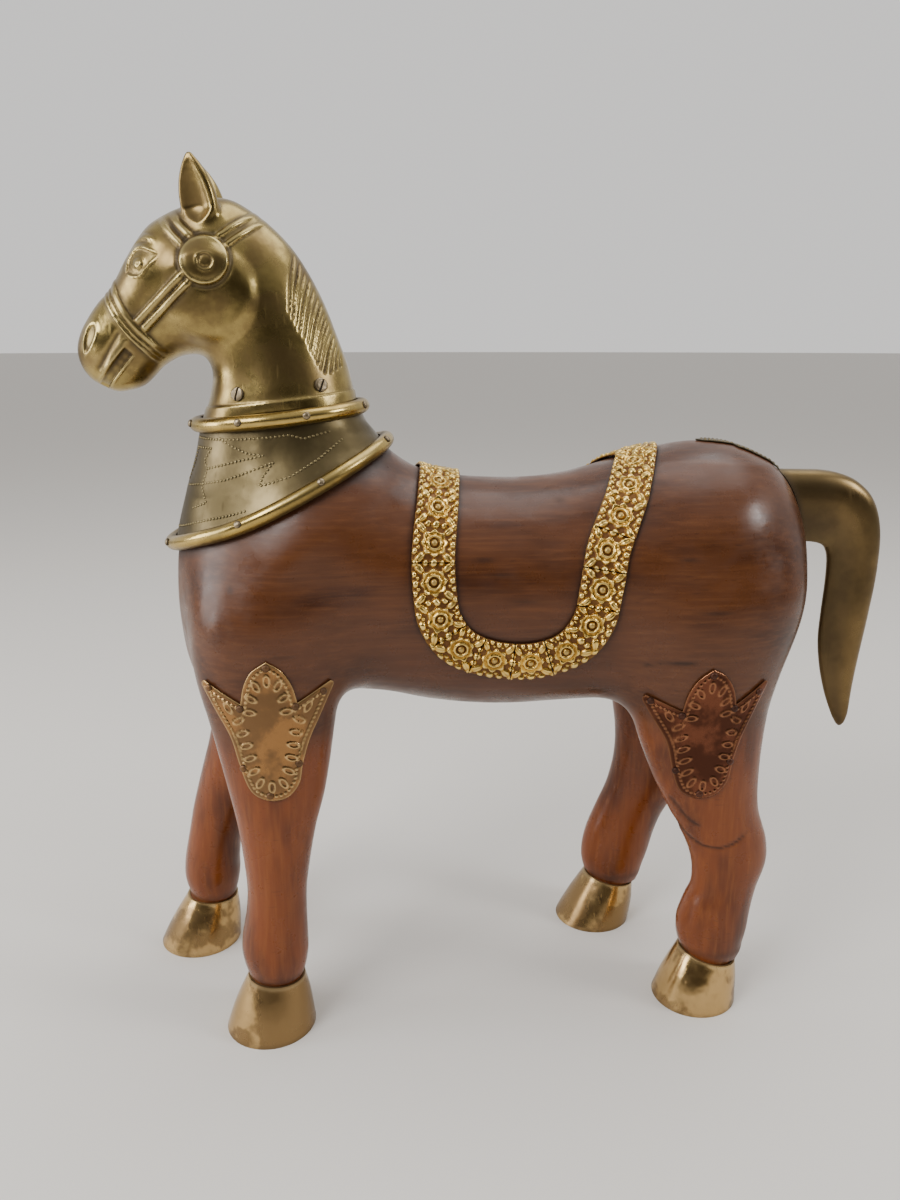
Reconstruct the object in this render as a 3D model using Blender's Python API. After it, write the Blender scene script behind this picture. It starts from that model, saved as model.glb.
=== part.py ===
"""A carved wooden horse dressed in brass: head, collar, saddle strap, plates, hooves and tail.

The horse stands on +Z up with its nose towards -X and its left side towards -Y.
The origin is on the floor, in the middle of the horse's length and width.
"""
import math

import bmesh
import bpy
import numpy as np

# Driving sizes, in metres.
HORSE_HEIGHT = 0.442  # floor to ear tips
SHEET_THICKNESS = 0.0009  # brass sheet of the collar and of the plates
SHEET_CLEARANCE = 0.0007  # between sheet brass and the wood that it lies on
PIECE_GAP = 0.0004  # between pieces that touch face to face
BAR_GAP = 0.0007  # between the collar sheet and the bars that edge it
NECK_EASE = 0.0013  # the wood is this much slimmer under the collar
RING_POINTS = 32  # points round the collar and its bars
STRAP_WIDTH = 0.0215  # stamped strap round the saddle
STRAP_THICKNESS = 0.0017
STRAP_CLEARANCE = 0.0013  # between the stiff strap and the wood
STRAP_CUT = 0.0006  # gap at each saw cut of the strap
BACK_TILE_COUNT = 7  # rosettes on each strap length that crosses the back
BAR_WIDTH = 0.0075  # half-round bars that edge the collar
BAR_HEIGHT = 0.0046
NAIL_RADIUS = 0.0019
NAIL_HEIGHT = 0.0011
SCREW_RADIUS = 0.0033
SCREW_HEIGHT = 0.0013
SCREW_SLOT = 0.0008
HOOF_HEIGHT = 0.031
HOOF_WALL = 0.0012
HOOF_SLIP = 0.0015  # between a hoof sleeve and the wood inside it
FRONT_HOOF_RADIUS = 0.0238
HIND_HOOF_RADIUS = 0.023

# The carver's drawing is in millimetres for a horse 442 mm tall, with x from midway between the hooves.
DRAWN_HEIGHT = 442.0
DRAWN_MIDDLE = 34.6  # middle of the whole length, where the origin is
MM = HORSE_HEIGHT / DRAWN_HEIGHT

# Outline of trunk and neck seen from the left, from the chest up the neck, along the back, round the rump
# and back under the belly. The neck runs on past its top, where a plane cuts it.
TRUNK_OUTLINE = [
    (-118, 176), (-128, 184), (-134, 200), (-136.5, 222), (-136.5, 240), (-135, 256), (-131.5, 272),
    (-127, 288), (-122.5, 302), (-119, 316), (-114, 334), (-100, 350), (-70, 356), (-50, 348),
    (-44, 332), (-39.5, 321), (-31.5, 311), (-20, 301), (-8, 295), (10, 291.5), (40, 290), (64, 292),
    (85, 297), (108, 303.5), (132, 308), (154, 307), (172, 300), (185, 289), (193.5, 273),
    (198.5, 254), (200, 232), (197.5, 211), (189, 191), (177, 172), (162, 160), (140, 160),
    (114, 165), (90, 168.5), (64, 168), (40, 167), (16, 168), (-8, 171.5), (-32, 177), (-60, 179),
    (-90, 176),
]
# Half width of the trunk along x.
TRUNK_WIDTH = [
    (-140, 42), (-112, 53), (-80, 55), (-40, 52), (10, 50), (60, 52), (105, 57), (145, 57), (200, 48),
]
TRUNK_ROUNDING = 58.0  # depth over which the trunk's side rolls in to its outline
NECK_ROUNDING = 38.0
NECK_HALF_WIDTH = 31.0
# Planes of the two collar bars: height at x = 0 and rise along x.
LOWER_BAR_PLANE = (322.5, 0.468)
UPPER_BAR_PLANE = (331.5, 0.108)
BAR_SAG = 4.5  # how far the lower bar dips at the shoulders

# Legs seen from the left: (height, front, back, how far the middle is inside the hoof track, half width).
LEG_SECTIONS = {
    "left_front": [
        (275, -102, -78, 26, 5), (254, -113, -66, 17, 15), (230, -122, -57, 9, 22),
        (198, -124, -54, 6, 22.5), (166, -118, -58, 4, 20.5),
        (137, -112, -63, 2, 18.5), (114, -108, -69, 1, 17),
        (86, -105.5, -74, 0, 15.5), (70, -106.5, -75, 0, 15.8),
        (57, -109, -75, 0, 16.8), (47, -110, -75, 0, 17.2),
        (41, -109.3, -75.8, 0, 16.6), (38, -107, -78, 0, 14.4),
    ],
    "right_front": [
        (275, -102, -78, 26, 5), (254, -113, -66, 17, 15), (230, -122, -58, 9, 22),
        (198, -125, -61, 6, 22.5), (166, -127, -71, 4, 20.5),
        (137, -132, -83, 2, 18.5), (112, -139, -97, 1, 17),
        (90, -145, -109, 0, 15.5), (71, -149, -117, 0, 15.8),
        (57, -152, -119.5, 0, 16.8), (47, -153, -120, 0, 17.2),
        (41, -152.5, -121, 0, 16.6), (38, -150.5, -123, 0, 14.4),
    ],
    "left_hind": [
        (288, 134, 154, 28, 5), (262, 112, 174, 18, 16), (244, 101, 182, 12, 23),
        (225, 96, 184, 9, 26.5), (190, 96, 175.5, 7, 25),
        (162, 101, 171, 5, 21.5), (135, 111, 169, 3, 18.8),
        (115, 121, 170, 2, 17.2), (97, 130.5, 175.5, 1, 16),
        (84, 135, 176, 0, 15.2), (70, 136, 172, 0, 14.8),
        (60, 132.5, 169.5, 0, 15.6), (50, 129.3, 168, 0, 16.4),
        (43, 129, 166.5, 0, 16.4), (38, 130, 165.5, 0, 15.8), (34, 132.3, 162.8, 0, 14),
    ],
    "right_hind": [
        (288, 134, 154, 28, 5), (262, 112, 174, 18, 16), (244, 101, 182, 12, 23),
        (225, 97, 184, 9, 26.5), (190, 99, 175, 7, 25),
        (158, 107, 172, 5, 21.5), (130, 112, 168, 3, 18.8),
        (110, 112, 166, 2, 17.2), (92, 108.5, 158, 1, 16),
        (77, 103, 148, 0, 15.2), (63, 97.5, 141, 0, 15.2),
        (52, 95, 137, 0, 16), (43, 94.5, 133.8, 0, 16.4),
        (38, 95.5, 132.2, 0, 15.8), (34, 97.8, 129.5, 0, 14),
    ],
}
LEG_BLEND = 15.0  # how softly the legs grow out of the trunk
WOOD_CELL = 4.0  # spacing of the grids that the wood and the head are first drawn on
HEAD_CELL = 1.0
GRID_MARGIN = 6.5  # how far those grids reach past the forms
WOOD_TRIANGLES = 1830  # faces that are kept of the wood and of the head
HEAD_TRIANGLES = 3120
# Hooves: (middle of the sole, middle of the top, half length of the top, rise of the top's front edge).
HOOF_PLACES = {
    "left_front": (-96.5, -92.7, 14.8, 1.5), "right_front": (-146, -137.5, 14.8, 1.5),
    "left_hind": (140.8, 146.5, 15.2, 7.0), "right_hind": (102.5, 112.5, 15.2, 6.0),
}
HOOF_TRACK = 42.0  # sole's middle from the centre line
CORE_LIFT = 0.8  # the wood ends this far above the sole

# Head and neck casting seen from the left.
HEAD_OUTLINE = [
    (-41.5, 318), (-43, 334), (-46, 348), (-50.5, 361), (-56.5, 377), (-63.5, 391), (-71, 402.5),
    (-80, 412), (-90, 419.5), (-100, 424.5), (-112, 425), (-122, 421), (-130, 417.5), (-138, 412.5),
    (-144.5, 405),
    (-150, 397), (-154.5, 389.5), (-158.5, 383), (-164, 378), (-169.5, 371), (-174, 363.5),
    (-176.3, 355.5), (-175, 347.5), (-171, 341.5), (-165.5, 338), (-159.5, 335.5), (-153, 336),
    (-146, 338.3), (-141, 342.5), (-136.5, 347), (-131, 350.6), (-125, 352.8), (-118, 352.8),
    (-114, 349.5), (-112.5, 343), (-114.5, 333), (-118.5, 320), (-121.5, 306), (-80, 300), (-38, 306),
]
# Half width of the head from the muzzle's tip back along the head.
MUZZLE_TIP = (-172.0, 346.0)
HEAD_WIDTH = [(0, 14), (12, 16.8), (26, 17.6), (40, 20), (54, 23.5), (70, 25), (90, 25), (120, 25)]
# Half width of the casting's neck by height, over that of the wood below it.
NECK_OVER_WOOD = [(300, 1.5), (322, 0.3), (334, -1.4), (350, -3.5), (372, -5.0), (430, -6.0)]
HEAD_ROUNDING = 21.0
BASE_FLARE = 0.7  # the casting thickens this much at its lower edge
CHEEK = ((-110.5, 381.0), 25.5, 3.4)  # middle, radius and height of the round cheek
BOSS = ((-110.0, 395.5), 11.8, 3.2)  # round boss at the crossing of the straps
BOSS_EYE = ((-109.3, 394.8), 3.0, 0.7)
# Bridle straps as middle lines from end to end, each two ridges with a groove between.
STRAP_LINES = [
    [(-159.5, 388), (-154, 376), (-148, 366.5), (-139, 356.5), (-130, 348)],  # noseband
    [(-140.5, 367.5), (-118, 388)],  # cheek piece
    [(-115, 404), (-124, 413), (-130, 422)],  # brow band
    [(-105, 402), (-94, 410.5), (-83, 418.5)],  # crown piece
]
STRAP_HALF = 3.3  # half width of a bridle strap
STRAP_RELIEF = 2.1
EYE = (-141.0, 394.0)
EYE_TURN = math.radians(18)
EYE_HALF = (7.2, 4.2)
NOSTRIL = ((-167.8, 360.5), math.radians(68), (6.0, 2.3), 1.9)
LIP_LINES = [[(-150.5, 350.5), (-156.5, 343.5), (-162, 336)], [(-150.5, 357), (-159, 348.5), (-169, 339.5)]]
LIP_HALF = 1.1
LIP_DEPTH = 1.5
# Mane: front edge of the carved part, and the strokes cut into it.
MANE_EDGE = [(-73.5, 405), (-77.5, 384), (-76, 366), (-70, 354), (-63, 344)]
MANE_STROKES = 13
MANE_PITCH = 3.6
MANE_DEPTH = 1.3
MANE_LEAN = 0.3  # strokes lean forward this much for each unit down
# Ears: root, tip, half width, cup turned out to the side.
EAR_ROOT = (-110.0, 12.5, 406.0)
EAR_TIP = (-115.5, 17.5, 442.5)
EAR_HALF = 9.0
EAR_SHAPE = [
    (-0.35, 0.5), (0.0, 0.8), (0.25, 1.0), (0.5, 0.98), (0.7, 0.8), (0.85, 0.52), (0.95, 0.25), (1.02, 0.06),
]
EAR_WALL = 1.7

# Tail: upper and outer edge, then the lower and inner edge, with the half thickness.
TAIL_SECTIONS = [
    (186, 294, 186, 250, 9), (203, 292.5, 203, 249.5, 9.2), (217, 291, 214, 247.5, 9),
    (229, 285.5, 218, 242, 8.6), (239, 274.5, 219, 234, 8.2), (244, 257, 219, 223, 8),
    (245.8, 234, 219, 209, 7.8), (245.2, 209, 219.6, 194, 7.4), (243.6, 187, 222.5, 178, 6.6),
    (242, 168, 227.5, 162.5, 5.2), (240.8, 153, 233.3, 149.5, 3.4), (239.6, 143, 236.8, 142, 1.3),
]

# Strap's middle on the left flank, as x and height, from the withers down, along and up to the loins.
STRAP_PATH = [
    (-3.4, 284), (-6.0, 270), (-7.4, 256), (-6.8, 241), (-4.2, 227), (5.0, 213.8), (22, 206), (43, 204.6),
    (61, 211), (71.5, 225), (75, 242), (78.6, 260), (85, 274), (90.5, 284),
]
STRAP_OVER_BACK = (0.0, 105.5)  # x where the strap crosses the ridge of the back
# Lengths of the strap on each side, in rosettes, after the one that crosses the back.
STRAP_LENGTHS = [2, 1, 1, 1, 2, 1, 1]

# Plate on each leg: its upper and lower edge about its own middle, and the places where it is sampled across.
LEG_PLATE_TOP = [
    (-31.3, 23.2), (-30, 24.5), (-12.8, 14.5), (-11, 23.5), (-7, 31), (0, 36), (7, 31), (11.5, 23), (13.7, 14),
    (29.5, 22.8), (31, 22),
]
LEG_PLATE_FOOT = [
    (-31.3, 21.8), (-24, 8), (-18.5, -3), (-15.5, -15), (-12.8, -25), (-9.5, -32), (-4, -35.5), (2, -36.3),
    (8, -34.5), (13, -28), (15, -18), (18.5, -6), (24, 6), (31, 20.8),
]
LEG_PLATE_PLACES = (-31.3, -24, -17.5, -12.8, -11, -6, 0, 6, 11.3, 13.7, 18, 24, 31)
# Where each plate's middle is on its leg, how far its cross line slants and how far it leans with the leg.
LEG_PLATES = {
    "left_front": (-88.5, 176, 0.0, 0.0), "right_front": (-97, 176, 0.0, 0.2),
    "left_hind": (131.5, 165.5, 0.15, 0.0), "right_hind": (134, 165.5, 0.15, 0.0),
}
# Plate over the croup, from its front lobe back to the tail: distance along x and half width.
CROUP_PLATE = [
    (137, 0.6), (140, 4.5), (147, 6.5), (155, 6.5), (157, 10.5), (166, 12), (174, 13), (178.5, 12.5),
]

COLOURS = {
    "wood": ((0.20, 0.075, 0.035), 0.35, 0.0),
    "cast_brass": ((0.50, 0.36, 0.13), 0.3, 1.0),
    "sheet_brass": ((0.42, 0.34, 0.17), 0.38, 1.0),
    "stamped_brass": ((0.70, 0.46, 0.10), 0.28, 1.0),
    "iron": ((0.22, 0.19, 0.15), 0.5, 1.0),
}


def spline(points, count, closed=False):
    """Points along a smooth curve through the given ones (Catmull-Rom)."""
    p = np.asarray(points, float)
    p = np.vstack([p[-1], p, p[:2]]) if closed else np.vstack([2 * p[0] - p[1], p, 2 * p[-1] - p[-2]])
    spans = len(p) - 3
    t = np.linspace(0, spans, count, endpoint=not closed)
    i = np.minimum(t.astype(int), spans - 1)
    u = (t - i)[:, None]
    a, b, c, d = p[i], p[i + 1], p[i + 2], p[i + 3]
    return 0.5 * (2 * b + (c - a) * u + (2 * a - 5 * b + 4 * c - d) * u**2 + (3 * b - a - 3 * c + d) * u**3)


def step(low, high, value):
    """Smooth step from 0 at low to 1 at high."""
    t = np.clip((value - low) / (high - low), 0, 1)
    return t * t * (3 - 2 * t)


def joined(a, b, softness):
    """Union of two fields with a soft fillet."""
    h = np.clip(0.5 + 0.5 * (b - a) / softness, 0, 1)
    return b * (1 - h) + a * h - softness * h * (1 - h)


def to_line(x, z, line):
    """Distance from points to an open line, and how far along it the nearest point is, from 0 to 1."""
    best, along = np.full(np.broadcast(x, z).shape, 1e9), np.zeros(np.broadcast(x, z).shape)
    spans = len(line) - 1
    for i, ((ax, az), (bx, bz)) in enumerate(zip(line[:-1], line[1:])):
        ex, ez = bx - ax, bz - az
        t = np.clip(((x - ax) * ex + (z - az) * ez) / (ex * ex + ez * ez), 0, 1)
        d = np.hypot(x - ax - ex * t, z - az - ez * t)
        along = np.where(d < best, (i + t) / spans, along)
        best = np.minimum(best, d)
    return best, along


def outline_distance(x, z, outline):
    """Signed distance to a closed outline, negative inside it."""
    best = np.full(np.broadcast(x, z).shape, 1e18)
    inside = np.zeros(best.shape, bool)
    for (ax, az), (bx, bz) in zip(outline, np.roll(outline, -1, 0)):
        ex, ez = bx - ax, bz - az
        t = np.clip(((x - ax) * ex + (z - az) * ez) / (ex * ex + ez * ez), 0, 1)
        best = np.minimum(best, (x - ax - ex * t) ** 2 + (z - az - ez * t) ** 2)
        if bz != az:
            inside ^= ((az <= z) != (bz <= z)) & (x < ax + (z - az) / (bz - az) * ex)
    return np.where(inside, -np.sqrt(best), np.sqrt(best))


def soft_depth(outline, blur, cell=1.5):
    """Signed distance to an outline, blurred well inside it so that no crease shows along the middle."""
    low, high = outline.min(0) - 12, outline.max(0) + 12
    axes = [np.arange(low[i], high[i] + cell, cell) for i in (0, 1)]
    soft = outline_distance(axes[0][:, None], axes[1][None, :], outline)
    reach = int(3 * blur / cell)
    weights = np.exp(-0.5 * (np.arange(-reach, reach + 1) * cell / blur) ** 2)
    weights = weights / weights.sum()
    for axis in (0, 1):
        padded = np.pad(soft, [(reach, reach) if i == axis else (0, 0) for i in (0, 1)], mode="edge")
        soft = np.apply_along_axis(np.convolve, axis, padded, weights, "valid")

    def depth(x, z):
        exact = outline_distance(x, z, outline)
        u = np.clip((x - low[0]) / cell, 0, soft.shape[0] - 1.001) + 0 * z
        v = np.clip((z - low[1]) / cell, 0, soft.shape[1] - 1.001) + 0 * x
        i, j = u.astype(int), v.astype(int)
        u, v = u - i, v - j
        near = soft[i, j] * (1 - u) * (1 - v) + soft[i + 1, j] * u * (1 - v)
        near = near + soft[i, j + 1] * (1 - u) * v + soft[i + 1, j + 1] * u * v
        return exact + (near - exact) * step(-1.0, -2.2 * blur, exact)

    return depth


def pillow(depth, y, rounding, half_width):
    """Field of a body whose side outline is at depth 0 and whose flanks roll out to half_width."""
    rise = np.maximum(rounding + depth, 0) / rounding
    return rounding * (np.sqrt(rise**2 + (y / half_width) ** 2) - 1)


TRUNK_CURVE = spline(TRUNK_OUTLINE, 180, closed=True)
HEAD_CURVE = spline(HEAD_OUTLINE, 200, closed=True)
trunk_depth = soft_depth(TRUNK_CURVE, 9.0)
head_depth = soft_depth(HEAD_CURVE, 4.5)
LEG_CURVES = {name: spline(rows, 120)[::-1] for name, rows in LEG_SECTIONS.items()}
TRUNK_WIDTH_CURVE = spline(TRUNK_WIDTH, 80)


def plane_height(plane, x):
    return plane[0] + plane[1] * x


def hoof_radii(name, z):
    """Middle, half length and half width of a hoof's outer face at height z, in drawing units."""
    sole, top, half_top, _ = HOOF_PLACES[name]
    radius = (FRONT_HOOF_RADIUS if "front" in name else HIND_HOOF_RADIUS) / MM
    t = np.clip(z * MM / HOOF_HEIGHT, 0, 1.3)
    swell = 0.9 * np.sin(math.pi * np.clip(t, 0, 1))
    length = radius + (half_top - radius) * t + swell
    width = radius + (half_top - 0.6 - radius) * t + swell
    return sole + (top - sole) * t, length, width


def trunk_field(x, y, z):
    """Trunk and neck, with the neck run on past its top: below 0 inside the wood, in drawing units."""
    low, high = plane_height(LOWER_BAR_PLANE, x), plane_height(UPPER_BAR_PLANE, x)
    up = step(-0.9, 1.0, (z - low) / np.maximum(high - low, 12.0)) * step(10, -40, x)
    half = np.interp(x, TRUNK_WIDTH_CURVE[:, 0], TRUNK_WIDTH_CURVE[:, 1])
    half = half + (NECK_HALF_WIDTH - half) * up
    rounding = TRUNK_ROUNDING + (NECK_ROUNDING - TRUNK_ROUNDING) * up
    return pillow(trunk_depth(x, z), y, rounding, half)


def leg_field(name, x, y, z):
    """One leg down to the core inside its hoof."""
    side = -1 if "left" in name else 1
    rows = LEG_CURVES[name]
    at = [np.interp(z, rows[:, 0], rows[:, i]) for i in (1, 2, 3, 4)]
    middle, length, inset, width = (at[0] + at[1]) / 2, (at[1] - at[0]) / 2, at[2], at[3]
    slip = (HOOF_WALL + HOOF_SLIP) / MM
    core_middle, core_length, core_width = hoof_radii(name, z)
    top = HOOF_HEIGHT / MM
    inside = 1 - step(top + 0.5, top + 4.5, z)
    middle = middle + (core_middle - middle) * inside
    length = length + (core_length - slip - length) * inside
    width = width + (core_width - slip - width) * inside
    across = HOOF_TRACK - inset * (1 - inside)
    ring = np.sqrt(((x - middle) / length) ** 2 + ((y - side * across) / width) ** 2) - 1
    field = ring * np.minimum(length, width)
    return np.maximum(np.maximum(field, CORE_LIFT - z), z - LEG_SECTIONS[name][0][0])


def skin_field(x, y, z):
    """Trunk, neck and legs, grown together softly, as what lies on the wood meets them."""
    field = trunk_field(x, y, z)
    for name in LEG_SECTIONS:
        field = joined(field, leg_field(name, x, y, z), LEG_BLEND * step(90, 150, z) + 0.5)
    return field


def wood_field(x, y, z):
    """The whole carving: slimmer under the collar, and cut off flat where the casting stands on its neck."""
    top = (z - plane_height(UPPER_BAR_PLANE, x)) / math.hypot(1, UPPER_BAR_PLANE[1])
    slim = NECK_EASE / MM * step(-3, 4, z - plane_height(LOWER_BAR_PLANE, x)) * step(-30, -42, x)
    return np.maximum(skin_field(x, y, z) + slim, top)


def ridge(distance, half, height):
    """Height of a rounded rib of that half width."""
    return height * np.sqrt(np.clip(1 - (distance / half) ** 2, 0, 1))


def bridle_relief(x, z):
    """Straps and boss of the bridle, as a height over the head's side."""
    height = np.zeros(np.broadcast(x, z).shape)
    for line in STRAP_LINES:
        away, _ = to_line(x, z, line)
        rail = ridge(away - STRAP_HALF * 0.5, STRAP_HALF * 0.62, STRAP_RELIEF)
        height = np.maximum(height, np.where(away < STRAP_HALF * 1.2, rail, 0))
    (bx, bz), radius, tall = BOSS
    away = np.hypot(x - bx, z - bz)
    disc = tall * step(radius, radius - 1.1, away)
    (ex, ez), ring, deep = BOSS_EYE
    disc = disc - deep * np.exp(-(((np.hypot(x - ex, z - ez) - ring) / 0.8) ** 2))
    return np.where(away < radius, np.maximum(height * step(radius - 2.5, radius, away), disc), height)


def face_relief(x, z):
    """Eye, nostril and lips, as a height over the head's side."""
    c, s = math.cos(EYE_TURN), math.sin(EYE_TURN)
    u, v = (x - EYE[0]) * c + (z - EYE[1]) * s, -(x - EYE[0]) * s + (z - EYE[1]) * c
    long, tall = EYE_HALF
    lid = np.abs(v) / tall + (u / long) ** 2
    height = 1.1 * ridge(lid - 1.12, 0.3, 1) - 0.9 * step(1.0, 0.75, lid)
    ball = np.hypot(u, v)
    height = height + ridge(ball, 3.4, 1.6) - 0.6 * np.exp(-(((ball - 1.7) / 0.5) ** 2))
    brow, _ = to_line(u, v, [(-6.5, 5.2), (0, 7.6), (7.5, 6.2)])
    height = height + ridge(brow, 1.1, 0.9)
    (nx, nz), turn, (along, wide), deep = NOSTRIL
    u = (x - nx) * math.cos(turn) + (z - nz) * math.sin(turn)
    v = -(x - nx) * math.sin(turn) + (z - nz) * math.cos(turn)
    hole = (u / along) ** 2 + (v / wide) ** 2
    height = height - deep * step(1.0, 0.3, hole) + 0.8 * np.exp(-(((np.sqrt(hole) - 1.35) / 0.25) ** 2))
    for line in LIP_LINES:
        away, _ = to_line(x, z, line)
        height = height - LIP_DEPTH * np.exp(-((away / LIP_HALF) ** 2))
    return height


def mane_relief(x, z, depth):
    """Strokes of the mane: steep grooves that lean forward, behind the mane's front edge."""
    edge = np.interp(z, [p[1] for p in MANE_EDGE[::-1]], [p[0] for p in MANE_EDGE[::-1]])
    low, high = MANE_EDGE[-1][1], MANE_EDGE[0][1]
    behind = step(0, 1.5, x - edge) * step(low - 2, low + 2, z) * step(high + 14, high - 4, z)
    across = (x - MANE_LEAN * (z - low)) / MANE_PITCH
    groove = 0.5 - 0.5 * np.cos(2 * math.pi * across)
    return -MANE_DEPTH * behind * groove * step(-0.5, -4.0, depth)


def ear_field(x, y, z):
    """Both ears: a leaf from root to tip, hollowed on its outer side."""
    y = np.abs(y)
    root, tip = np.array(EAR_ROOT), np.array(EAR_TIP)
    way = tip - root
    length = np.linalg.norm(way)
    way = way / length
    out = np.array([-0.3, 0.95, 0.0])
    out = out - way * (out @ way)
    out = out / np.linalg.norm(out)
    across = np.cross(way, out)
    px, py, pz = x - root[0], y - root[1], z - root[2]
    t = (px * way[0] + py * way[1] + pz * way[2]) / length
    u = px * across[0] + py * across[1] + pz * across[2]
    v = px * out[0] + py * out[1] + pz * out[2]
    shape = np.array(EAR_SHAPE)
    lobe = EAR_HALF * np.interp(t, shape[:, 0], shape[:, 1])
    deep = 0.62 * lobe + 0.3
    leaf = (np.sqrt((u / lobe) ** 2 + (v / deep) ** 2) - 1) * deep
    leaf = np.maximum(leaf, np.maximum(t - 1, -0.35 - t) * length)
    bowl = np.maximum(EAR_HALF * np.interp(t + 0.03, shape[:, 0], shape[:, 1]) - EAR_WALL, 0.2)
    bowl = np.maximum(bowl * step(0.04, 0.3, t), 0.1)
    sunk = v - 0.62 * lobe
    cup = (np.sqrt((u / bowl) ** 2 + (sunk / bowl) ** 2) - 1) * bowl
    return np.maximum(leaf, -cup)


def head_field(x, y, z):
    """The casting of head and neck, with its straps, face, mane and ears."""
    along = np.hypot(x - MUZZLE_TIP[0], z - MUZZLE_TIP[1])
    head_rows, neck_rows = spline(HEAD_WIDTH, 60), spline(NECK_OVER_WOOD, 60)
    head_half = np.interp(along, head_rows[:, 0], head_rows[:, 1])
    neck_half = NECK_HALF_WIDTH + np.interp(z, neck_rows[:, 0], neck_rows[:, 1])
    neck = step(-118, -92, x + 0.35 * (z - 352))
    half = head_half + (neck_half - head_half) * neck
    rounding = HEAD_ROUNDING + (NECK_ROUNDING - HEAD_ROUNDING) * neck
    depth = head_depth(x, z)
    (cx, cz), radius, tall = CHEEK
    cheek = tall * step(radius, radius - 6, np.hypot(x - cx, (z - cz) * 1.05))
    side = step(0.0, 6.0, -depth)
    relief = bridle_relief(x, z) + (cheek + face_relief(x, z)) * side + mane_relief(x, z, depth)
    top = (z - plane_height(UPPER_BAR_PLANE, x)) / math.hypot(1, UPPER_BAR_PLANE[1])
    relief = relief + BASE_FLARE * step(9.5, 7.0, top)
    field = pillow(depth, y, rounding, half) - relief
    field = joined(field, ear_field(x, y, z), 3.0)
    return np.maximum(field, PIECE_GAP / MM - top)


def gradient(field, p, reach=0.2):
    """Direction in which a field grows, at each point."""
    found = []
    for axis in range(3):
        d = np.zeros(3)
        d[axis] = reach
        a, b = p + d, p - d
        found.append(field(a[:, 0], a[:, 1], a[:, 2]) - field(b[:, 0], b[:, 1], b[:, 2]))
    return np.stack(found, 1) / (2 * reach)


def settled(field, p, rounds=6):
    """Moves points onto a field's surface, and gives the outward normals there."""
    for _ in range(rounds):
        g = gradient(field, p)
        value = field(p[:, 0], p[:, 1], p[:, 2])
        p = p - g * (np.clip(value, -4, 4) / np.maximum((g**2).sum(1), 0.05))[:, None]
    g = gradient(field, p)
    return p, g / np.linalg.norm(g, axis=1)[:, None]


def cast(field, start, way, reach, steps=60):
    """First place along each ray where the field turns from inside to outside."""
    low, high = np.zeros(len(start)), np.full(len(start), float(reach))
    way = np.broadcast_to(way, start.shape)
    for _ in range(steps // 3):
        mid = (low + high) / 2
        q = start + way * mid[:, None]
        outside = field(q[:, 0], q[:, 1], q[:, 2]) > 0
        high = np.where(outside, mid, high)
        low = np.where(outside, low, mid)
    return start + way * ((low + high) / 2)[:, None]


def field_mesh(field, low, high, cell):
    """Closed triangle mesh of a field's surface: every cell is cut into six tetrahedra, and each is sliced where
    the field changes sign, so that the mesh never touches itself."""
    axes = [np.arange(low[i], high[i] + cell, cell) for i in range(3)]
    values = field(axes[0][:, None, None], axes[1][None, :, None], axes[2][None, None, :])
    inside = values < 0
    size = np.array(values.shape)
    stride = np.array([size[1] * size[2], size[2], 1])
    corners = np.array([(i, j, k) for i in (0, 1) for j in (0, 1) for k in (0, 1)])
    shape = size - 1
    count = np.zeros(shape, int)
    for i, j, k in corners:
        count += inside[i : i + shape[0], j : j + shape[1], k : k + shape[2]]
    first = np.argwhere((count > 0) & (count < 8)) @ stride
    flat, flat_inside = values.ravel(), inside.ravel()
    triangles = []
    for order in ((0, 1, 2), (1, 2, 0), (2, 0, 1), (0, 2, 1), (1, 0, 2), (2, 1, 0)):
        ahead = np.cumsum([0] + [stride[axis] for axis in order])
        tetra = first[:, None] + ahead[None]
        signs = flat_inside[tetra]
        flipped = order in ((0, 2, 1), (1, 0, 2), (2, 1, 0))
        for case in range(1, 15):
            hit = tetra[(signs * (1, 2, 4, 8)).sum(1) == case]
            if not len(hit):
                continue
            into = [i for i in range(4) if case >> i & 1]
            out = [i for i in range(4) if i not in into]
            if len(into) == 2:
                ring = [(into[0], out[0]), (into[0], out[1]), (into[1], out[1]), (into[1], out[0])]
                odd = np.linalg.det(np.eye(4)[[into[0], into[1], out[0], out[1]]]) < 0
                slices = [(0, 1, 2), (0, 2, 3)]
            else:
                lone, rest = (into[0], out) if len(into) == 1 else (out[0], into)
                ring = [(lone, other) for other in rest]
                odd = (np.linalg.det(np.eye(4)[[lone, *rest]]) < 0) ^ (len(into) == 3)
                slices = [(0, 1, 2)]
            edge = np.stack([np.sort(hit[:, pair], axis=1) for pair in ring], 1)
            for three in slices:
                face = edge[:, list(three)]
                triangles.append(face[:, ::-1] if odd ^ flipped else face)
    faces = np.vstack(triangles)
    keys = faces[..., 0].astype(np.int64) * flat.size + faces[..., 1]
    unique, index = np.unique(keys, return_inverse=True)
    a, b = unique // flat.size, unique % flat.size
    t = np.clip(flat[a] / (flat[a] - flat[b]), 0.04, 0.96)[:, None]
    place = lambda i: np.stack(np.unravel_index(i, tuple(size)), 1) * cell + np.array([a[0] for a in axes])
    return place(a) * (1 - t) + place(b) * t, index.reshape(-1, 3)


def material(name):
    made = bpy.data.materials.get(name)
    if made is None:
        colour, rough, metal = COLOURS[name]
        made = bpy.data.materials.new(name)
        made.use_nodes = True
        shader = made.node_tree.nodes["Principled BSDF"]
        shader.inputs["Base Color"].default_value = (*colour, 1)
        shader.inputs["Roughness"].default_value = rough
        shader.inputs["Metallic"].default_value = metal
    return made


def to_frame(points):
    """Drawing units, with x from between the hooves, to metres in the horse's own frame."""
    return (np.asarray(points, float) - (DRAWN_MIDDLE, 0, 0)) * MM


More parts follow.
